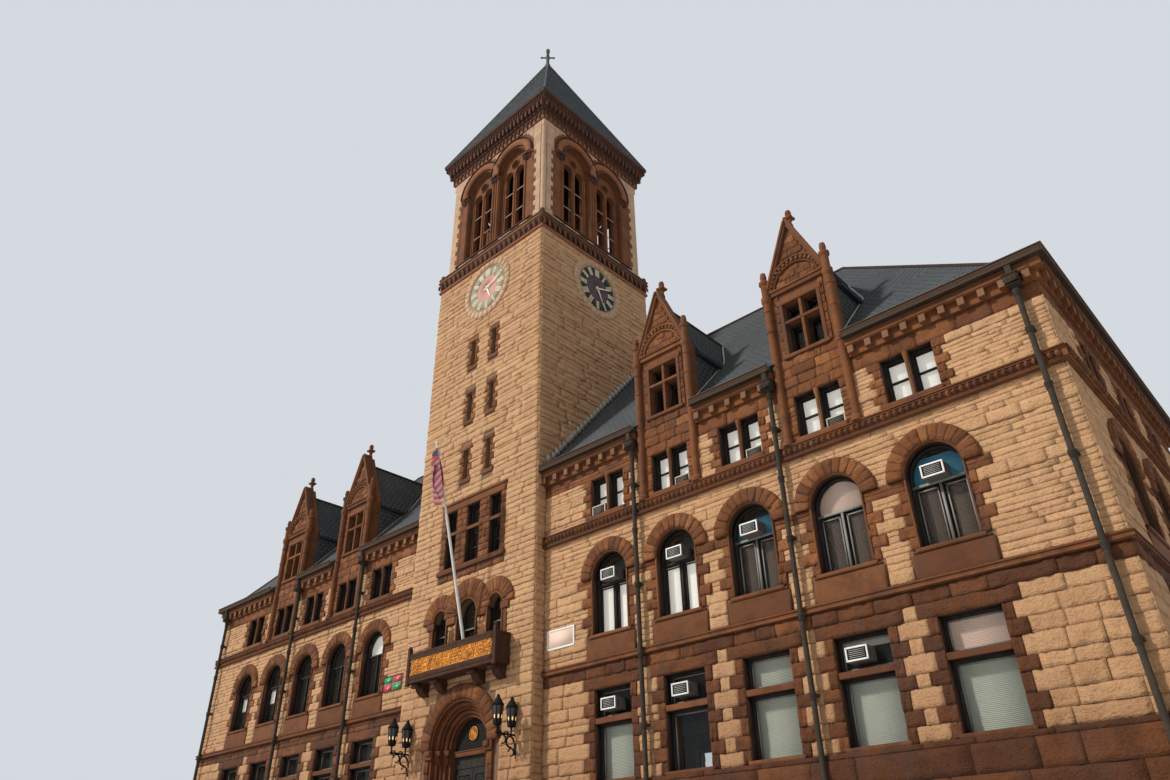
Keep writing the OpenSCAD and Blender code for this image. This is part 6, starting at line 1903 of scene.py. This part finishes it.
@dataclass
class Balcony(Part):
    """Gilded front of small curls, mouldings, post caps and corbel rolls of the balcony."""

    wall: Wall = Wall((0.0, -0.615, 0.0), (0, -1))
    post_wall: Wall = Wall((0.0, -0.605, 0.0), (0, -1))
    half: float = 1.2
    low: float = 3.945
    high: float = 4.235
    post: float = 1.2775
    curl_rows: int = 5
    curls: int = 40

    def work(self) -> None:
        """Dresses the front, the sides, the posts and the corbels."""
        trim = self.heap("balcony_mouldings", Finish.BALCONY)
        self.fill_front(self.heap("balcony_ornament", Finish.GOLD))
        for v, high, out in ((4.345, 0.03, 0.022), (4.305, 0.012, 0.03), (4.265, 0.07, 0.026), (3.918, 0.062, 0.026),
                (3.87, 0.024, 0.030), (3.815, 0.024, 0.016)):
            trim.block(self.wall, 0.0, v, -0.01, 2.46, high, out)
        cap = SHAPES.turn("post_cap", [(0.0, 0.0), (0.048, 0.0), (0.05, 0.012), (0.03, 0.022), (0.034, 0.04),
            (0.024, 0.062), (0.0, 0.07)], 12)
        for s in (-1, 1):
            trim.put(cap, self.post_wall, s * self.post, 4.45)
            trim.block(self.wall, s * self.post, 3.77, -0.02, 0.09, 0.03, 0.055)
            side = Wall((s * 1.3, -0.435, 0.0), (s, 0))
            for v, high, out in ((4.345, 0.03, 0.02), (3.90, 0.04, 0.012), (3.815, 0.024, 0.016), (4.12, 0.02, 0.008)):
                trim.block(side, 0.0, v, -0.004, 0.34, high, out)
        corbel = SHAPES.turn("corbel_roll", ROD, 16)
        for u in (-1.12, -0.55, 0.55, 1.12):
            for y, z, r in ((-0.52, 3.755, 0.045), (-0.40, 3.69, 0.038), (-0.31, 3.62, 0.032)):
                trim.add(corbel, stood((u, y, z), (r, 0.19, r), QUARTER, 0.0))

    def fill_front(self, gold: Pile) -> None:
        """Rows of small curls and leaves over the whole front."""
        rng = random.Random(91)
        curl = SHAPES.arch("curl", 0.021, [(-0.006, 0.0), (-0.004, 0.010), (0.004, 0.010), (0.006, 0.0)], 8,
            1.5 * math.pi)
        for row in range(self.curl_rows):
            for i in range(self.curls):
                u = -self.half + 2 * self.half * (i + 0.5 + 0.5 * (row % 2)) / (self.curls + 0.5)
                v = self.low + (self.high - self.low) * (row + 0.5) / self.curl_rows
                u, v = u + rng.uniform(-0.009, 0.009), v + rng.uniform(-0.007, 0.007)
                size, turn = rng.uniform(0.8, 1.15), rng.uniform(0.0, FULL_TURN)
                gold.put(curl, self.wall, u, v, 0.0, (size, size, rng.uniform(0.8, 1.6)), turn)
                gold.put("leaf", self.wall, u + 0.02 * math.cos(turn), v + 0.02 * math.sin(turn), 0.0,
                    (0.024, 0.046, rng.uniform(0.010, 0.022)), turn)
        for v in (self.low + 0.006, self.high - 0.006):
            gold.block(self.wall, 0.0, v, 0.0, 2 * self.half - 0.02, 0.010, 0.012)


@dataclass
class Fittings(Part):
    """Lantern cages, pipe sockets and hoppers, cooler grilles and board frames."""

    lanterns: Sequence[float] = (-1.5, 1.5)
    pipes: Sequence[float] = (-11.02, -7.145, -4.235, 4.235, 7.145, 11.02)
    scrolls: Sequence[tuple[float, ...]] = ((0.13, 2.46, 1.0, 1), (0.30, 2.49, 0.8, -1), (0.38, 2.58, 0.5, 1),
        (0.10, 2.30, 0.7, -1), (0.22, 2.58, 0.5, -1))
    hopper: float = 7.205
    cooler_half: float = 0.157
    cooler_tall: float = 0.185

    def work(self) -> None:
        """Dresses the lanterns, pipes, coolers and boards."""
        self.dress_lanterns()
        self.dress_pipes()
        self.dress_coolers()
        self.dress_boards()

    def dress_lanterns(self) -> None:
        """Panes with lit bulbs, bars, caps and scrolls of the wall lanterns."""
        iron = self.heap("lantern_ironwork", Finish.IRON)
        glass = self.heap("lantern_panes", Finish.PANE, 40)
        bulbs = self.heap("lantern_bulbs", Finish.LAMP, 40)
        pane = SHAPES.turn("lantern_pane", [(0.0, 0.0), (0.0625, 0.0), (0.0925, 0.27), (0.0, 0.28)], 12)
        bulb = SHAPES.turn("lantern_bulb", [(0.0, 0.0), (0.020, 0.01), (0.030, 0.05), (0.022, 0.10), (0.0, 0.13)], 8)
        ring = SHAPES.turn("lantern_ring", [(0.085, 0.0), (0.098, 0.006), (0.098, 0.016), (0.085, 0.022)], 12)
        knob = SHAPES.turn("lantern_knob",
            [(0.0, 0.0), (0.03, 0.004), (0.014, 0.02), (0.022, 0.035), (0.0, 0.055)], 10)
        scroll = SHAPES.arch("lantern_scroll", 0.085, bar(-0.012, 0.012, -0.012, 0.012), 14, 1.6 * math.pi)
        for x in self.lanterns:
            for y in (TOWER_FRONT - 0.11, TOWER_FRONT - 0.43):
                glass.add(pane, stood((x, y, 2.73)))
                for i in range(6):
                    way, between = (Vector((math.cos(a), math.sin(a), 0.0))
                        for a in (i * math.pi / 3, (i + 0.5) * math.pi / 3))
                    iron.add("rod", rod(Vector((x, y, 2.71)) + way * 0.064,
                        Vector((x, y, 3.035)) + way * 0.097, 0.0075))
                    bulbs.add(bulb, stood(Vector((x, y, 2.79)) + between * 0.062, (0.6, 0.9, 0.6)))
                for z, size in ((2.70, 0.74), (3.02, 1.02)):
                    iron.add(ring, stood((x, y, z), (size, 1, size)))
                iron.add(knob, stood((x, y, 3.15)))
                iron.add(knob, stood((x, y, 2.70), tip=-QUARTER))
            for out, z, size, way in self.scrolls:
                iron.add(scroll, stood((x, TOWER_FRONT - out, z), (size, size, 1), way * QUARTER))

    def dress_pipes(self) -> None:
        """Sockets, straps and moulded hoppers of the rainwater pipes."""
        pipe = self.heap("pipe_sockets", Finish.PIPE)
        head = self.heap("pipe_heads", Finish.COPPER, slot="pipe_paint")
        socket = SHAPES.turn("pipe_socket", [(0.038, -0.05), (0.046, -0.045), (0.048, 0.03), (0.054, 0.036),
            (0.054, 0.052), (0.04, 0.056)], 16)
        for x in self.pipes:
            for z in (1.2, 2.4, 3.45, 4.6, 5.55, 6.4, 7.0):
                pipe.add(socket, stood((x, -0.115, z)))
            for z, wide, deep in ((7.135, 0.19, 0.155), (7.20, 0.2, 0.165), (7.275, 0.215, 0.175)):
                head.block(FRONT, x, z, 0.14 - deep / 2, wide, 0.02, deep)
            for s in (-1, 1):
                head.plate(FRONT, x + s * 0.0905, self.hopper, 0.066, 0.003, 0.178, 0.148)
            head.plate(FRONT, x, self.hopper, 0.2145, 0.184, 0.178, 0.003)
            for k in (-1, 0, 1):
                head.put("leaf", FRONT, x + k * 0.055, self.hopper, 0.215, (0.05, 0.09, 0.012))

    def dress_coolers(self) -> None:
        """Dark grilles with a few bars, pale front frames and side slots of the room coolers."""
        grille = self.heap("cooler_grilles", Finish.DARK, slot="cooler_case")
        case = self.heap("cooler_edges", Finish.CASE)
        dull = self.heap("cooler_dull_edges", Finish.CASE_DULL)
        places = [(BAYS[i] - 0.06, 2.76, 0.06) for i in (0, 1, 3)] + [(BAYS[i], 4.90, 0.06) for i in (0, 1, 2, 4)]
        places += [(BAYS[0] - 0.211, THIRD_SILL, 0.01)] + [(BAYS[i] + 0.211, THIRD_SILL, -0.05) for i in (1, 2, 3)]
        half, tall = self.cooler_half, self.cooler_tall
        for u, foot, w in places:
            mid, edges = foot + tall / 2, case if w > 0.02 else dull
            grille.plate(FRONT, u, mid, w, 2 * half - 0.04, tall - 0.04, 0.003)
            for i in range(5):
                edges.plate(FRONT, u, foot + 0.045 + i * 0.024, w + 0.002, 2 * half - 0.09, 0.0035, 0.003)
            for s in (-1, 1):
                edges.block(FRONT, u + s * (half - 0.010), mid, w - 0.002, 0.022, tall, 0.012)
                for i in range(6):
                    grille.plate(FRONT, u + s * half, foot + 0.04 + i * 0.02, w - 0.09, 0.003, 0.008, 0.06)
            for v in (foot + 0.010, foot + tall - 0.010):
                edges.block(FRONT, u, v, w - 0.002, 2 * half, 0.022, 0.012)

    def dress_boards(self) -> None:
        """A pale bare board in a white frame, and a quartered field with pale squares in a dark one."""
        frames = self.heap("board_frames", Finish.CASE, slot="board_paint")
        dark = self.heap("board_dark_frame", Finish.BALCONY, slot="board_paint")
        red, green, peach = (self.heap(f"board_{kind.label}", kind)
            for kind in (Finish.RED, Finish.GREEN, Finish.PEACH))
        for a, b, low, high, edge, rim in ((2.015, 2.69, 3.93, 4.28, 0.030, frames),
                (-2.965, -2.31, 3.96, 4.28, 0.014, dark)):
            u, v, wide, tall = (a + b) / 2, (low + high) / 2, b - a, high - low
            for s in (-1, 1):
                rim.block(FRONT, u + s * (wide / 2 - edge / 2), v, 0.022, edge, tall, 0.012)
                rim.block(FRONT, u, v + s * (tall / 2 - edge / 2), 0.022, wide, edge, 0.012)
            if rim is frames:
                peach.plate(FRONT, u, v, 0.025, wide - 0.07, tall - 0.07, 0.002)
        for x, z in ((-1, -1), (-1, 1), (1, -1), (1, 1)):
            middle = (u + x * wide / 4, v + z * tall / 4)
            (red if x * z > 0 else green).plate(FRONT, *middle, 0.025, wide / 2 - 0.005, tall / 2 - 0.005, 0.002)
            frames.put("plain", FRONT, *middle, 0.027, (0.036, 0.036, 0.002), math.pi / 4)


@dataclass
class Flag(Part):
    """A limp flag that hangs in pleats from the outer side of the leaning pole."""

    hoist: float = 0.74
    fly: float = 1.16
    top: float = 0.12
    droop: float = 0.50
    pleats: int = 2
    foot: Point = (0.15, -0.295, 3.89)
    lean: float = math.radians(14.8)
    length: float = 4.52
    radius: float = 0.028
    cells: tuple[int, int] = (150, 40)

    def work(self) -> None:
        """Hangs the cloth and sets its two rings."""
        bm, (across, down) = bmesh.new(), self.cells
        flat = bm.loops.layers.uv.new("UVMap")
        up = Vector((0, -math.sin(self.lean), math.cos(self.lean)))
        tip = Vector(self.foot) + up * self.length
        grid = [[bm.verts.new(self.point(tip, i / across, j / down)) for i in range(across + 1)]
            for j in range(down + 1)]
        for j in range(down):
            for i in range(across):
                ring = ((i, j), (i + 1, j), (i + 1, j + 1), (i, j + 1))
                face = bm.faces.new([grid[q][p] for p, q in ring])
                for loop, (p, q) in zip(face.loops, ring):
                    loop[flat].uv = (p / across, q / down)
        mesh = bpy.data.meshes.new("flag_cloth")
        bm.to_mesh(mesh)
        bm.free()
        cloth = bpy.data.objects.new("flag_cloth", mesh)
        dress(cloth, Finish.FLAG, smooth=80)
        LOG.info("flag: %.3f m2 of cloth", sum(p.area for p in mesh.polygons))
        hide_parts("flag")
        rings = self.heap("flag_rings", Finish.IRON)
        ring = SHAPES.arch("flag_ring", 0.029, bar(-0.003, 0.003, -0.003, 0.003), 18, FULL_TURN)
        for drop in (self.top + 0.01, self.top + self.hoist - 0.02):
            rings.add(ring, stood(tip - up * drop, tip=self.lean))

    def point(self, tip: Vector, a: float, b: float) -> Vector:
        """Where a point of the flat cloth hangs, a along the fly and b down the hoist."""
        drop = self.top + b * self.hoist + self.droop * (a ** 1.25) * (0.75 + 0.25 * b)
        on_pole = drop if a < 0.02 else self.top + b * self.hoist + self.droop * a * 0.35
        side = tip.y + on_pole * math.tan(self.lean) - self.radius
        phase = FULL_TURN * (self.pleats * a + 0.12 * math.sin(5 * b + 9 * a))
        wide = (0.118 + 0.026 * b) * min(1.0, a * 5)
        y = side - 0.006 - 0.05 * a - 0.012 * min(1.0, a * 9) * (1 + math.sin(phase * 0.5 + 1.3 + 2 * b))
        return Vector((tip.x + wide * math.sin(phase), y, tip.z - drop))


@dataclass(frozen=True)
class Rig:
    """The camera at the photograph's place, the sun, the sky and the floor."""

    place: Point = (12.94, -10.65, 0.10)
    yaw: float = 0.7511
    pitch: float = 0.5463
    roll: float = -0.0134
    lens: float = 26.01
    to_sun: Point = (-0.45, -0.65, 0.61)
    sun: float = 3.0
    sun_colour: Point = (1.0, 0.955, 0.89)
    sky: float = 0.56
    floor_half: float = 60.0

    def build(self) -> None:
        """Builds the camera, the lights and the floor."""
        self.add_camera()
        self.add_sun()
        self.add_sky()
        self.add_floor()

    def add(self, name: str, data: bpy.types.ID) -> bpy.types.Object:
        """Links an object of the studio."""
        made = bpy.data.objects.new(name, data)
        bpy.context.scene.collection.objects.link(made)
        return made

    def add_camera(self) -> None:
        """A level camera turned by yaw, pitch and roll."""
        camera = self.add("camera", bpy.data.cameras.new("camera"))
        camera.data.sensor_fit, camera.data.sensor_width = "HORIZONTAL", 36.0
        camera.data.lens, camera.data.clip_end = self.lens, 400.0
        ahead = Vector((-math.sin(self.yaw) * math.cos(self.pitch), math.cos(self.yaw) * math.cos(self.pitch),
            math.sin(self.pitch)))
        right = Vector((math.cos(self.yaw), math.sin(self.yaw), 0.0))
        up = right.cross(ahead)
        side = right * math.cos(self.roll) + up * math.sin(self.roll)
        top = up * math.cos(self.roll) - right * math.sin(self.roll)
        matrix = Matrix((side, top, -ahead)).transposed().to_4x4()
        matrix.translation = Vector(self.place)
        camera.matrix_world = matrix
        bpy.context.scene.camera = camera

    def add_sun(self) -> None:
        """One soft sun from the upper left."""
        lamp = bpy.data.lights.new("sun", "SUN")
        lamp.energy, lamp.angle, lamp.color = self.sun, math.radians(4.0), self.sun_colour
        sun = self.add("sun", lamp)
        sun.rotation_mode = "QUATERNION"
        sun.rotation_quaternion = Vector(self.to_sun).to_track_quat("Z", "Y")

    def add_sky(self) -> None:
        """A pale sky that lights softly and shows as a pale background."""
        world = bpy.context.scene.world = bpy.data.worlds.new("sky")
        world.use_nodes = True
        world.node_tree.nodes.clear()
        g = Graph(world.node_tree)
        light = g.node("Background", Color=(0.93, 0.96, 1.0, 1.0), Strength=self.sky).outputs[0]
        pale = g.node("Background", Color=(0.66, 0.70, 0.74, 1.0), Strength=1.0).outputs[0]
        path = g.node("LightPath").outputs
        seen = g.math("MAXIMUM", path["Is Camera Ray"],
            g.math("MAXIMUM", path["Is Glossy Ray"], path["Is Transmission Ray"]))
        g.node("OutputWorld", Surface=g.node("MixShader", i0=seen, i1=light, i2=pale).outputs[0])

    def add_floor(self) -> None:
        """A plain pale floor, just under the building."""
        bm = bmesh.new()
        bmesh.ops.create_grid(bm, x_segments=1, y_segments=1, size=self.floor_half)
        mesh = bpy.data.meshes.new("floor")
        bm.to_mesh(mesh)
        bm.free()
        material = bpy.data.materials.new("floor")
        material.use_nodes = True
        Graph(material.node_tree).wire(material.node_tree.nodes["Principled BSDF"],
            Base_Color=(0.62, 0.62, 0.61, 1.0), Roughness=0.9)
        mesh.materials.append(material)
        floor = self.add("floor", mesh)
        floor.location = (0.0, 0.0, -0.002)


def wing_faces() -> list[WingFace]:
    """The outer walls of the two wings."""
    left = [-c for c in BAYS]
    back = sorted(HALF + s * c for s in (-1, 1) for c in (*BACK_MIDDLES, *BAYS))
    both = [(0.0, 1), (DEPTH, -1)]
    return [
        WingFace("right_front", FRONT, [(TOWER_HALF, HALF)], BAYS, DORMERS, [(HALF, -1)]),
        WingFace("left_front", FRONT, [(-HALF, -TOWER_HALF)], left, [-c for c in DORMERS], [(-HALF, 1)]),
        WingFace("right_end", RIGHT_END, [(0.0, DEPTH)], END_BAYS, (), both),
        WingFace("left_end", LEFT_END, [(0.0, DEPTH)], END_BAYS, (), both),
        WingFace("back", BACK, [(0.0, 2 * HALF)], back, (), [(0.0, 1), (2 * HALF, -1)])]


def main() -> None:
    """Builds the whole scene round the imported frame."""
    logging.basicConfig(level=logging.INFO, format="%(name)s: %(message)s")
    random.seed(4)
    bpy.context.scene.view_settings.view_transform = "Standard"
    Rig().build()
    build_materials()
    make_shapes()
    for part in (*wing_faces(), Dormers(ALL_DORMERS), TowerShaft(), Clocks(), Belfry(), SlateRoof(), RoofLines(),
            Windows(), Entrance(), Balcony(), Fittings(), Flag()):
        part.build()
        LOG.info("built %s", type(part).__name__)
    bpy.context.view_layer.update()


if __name__ == "__main__":
    main()
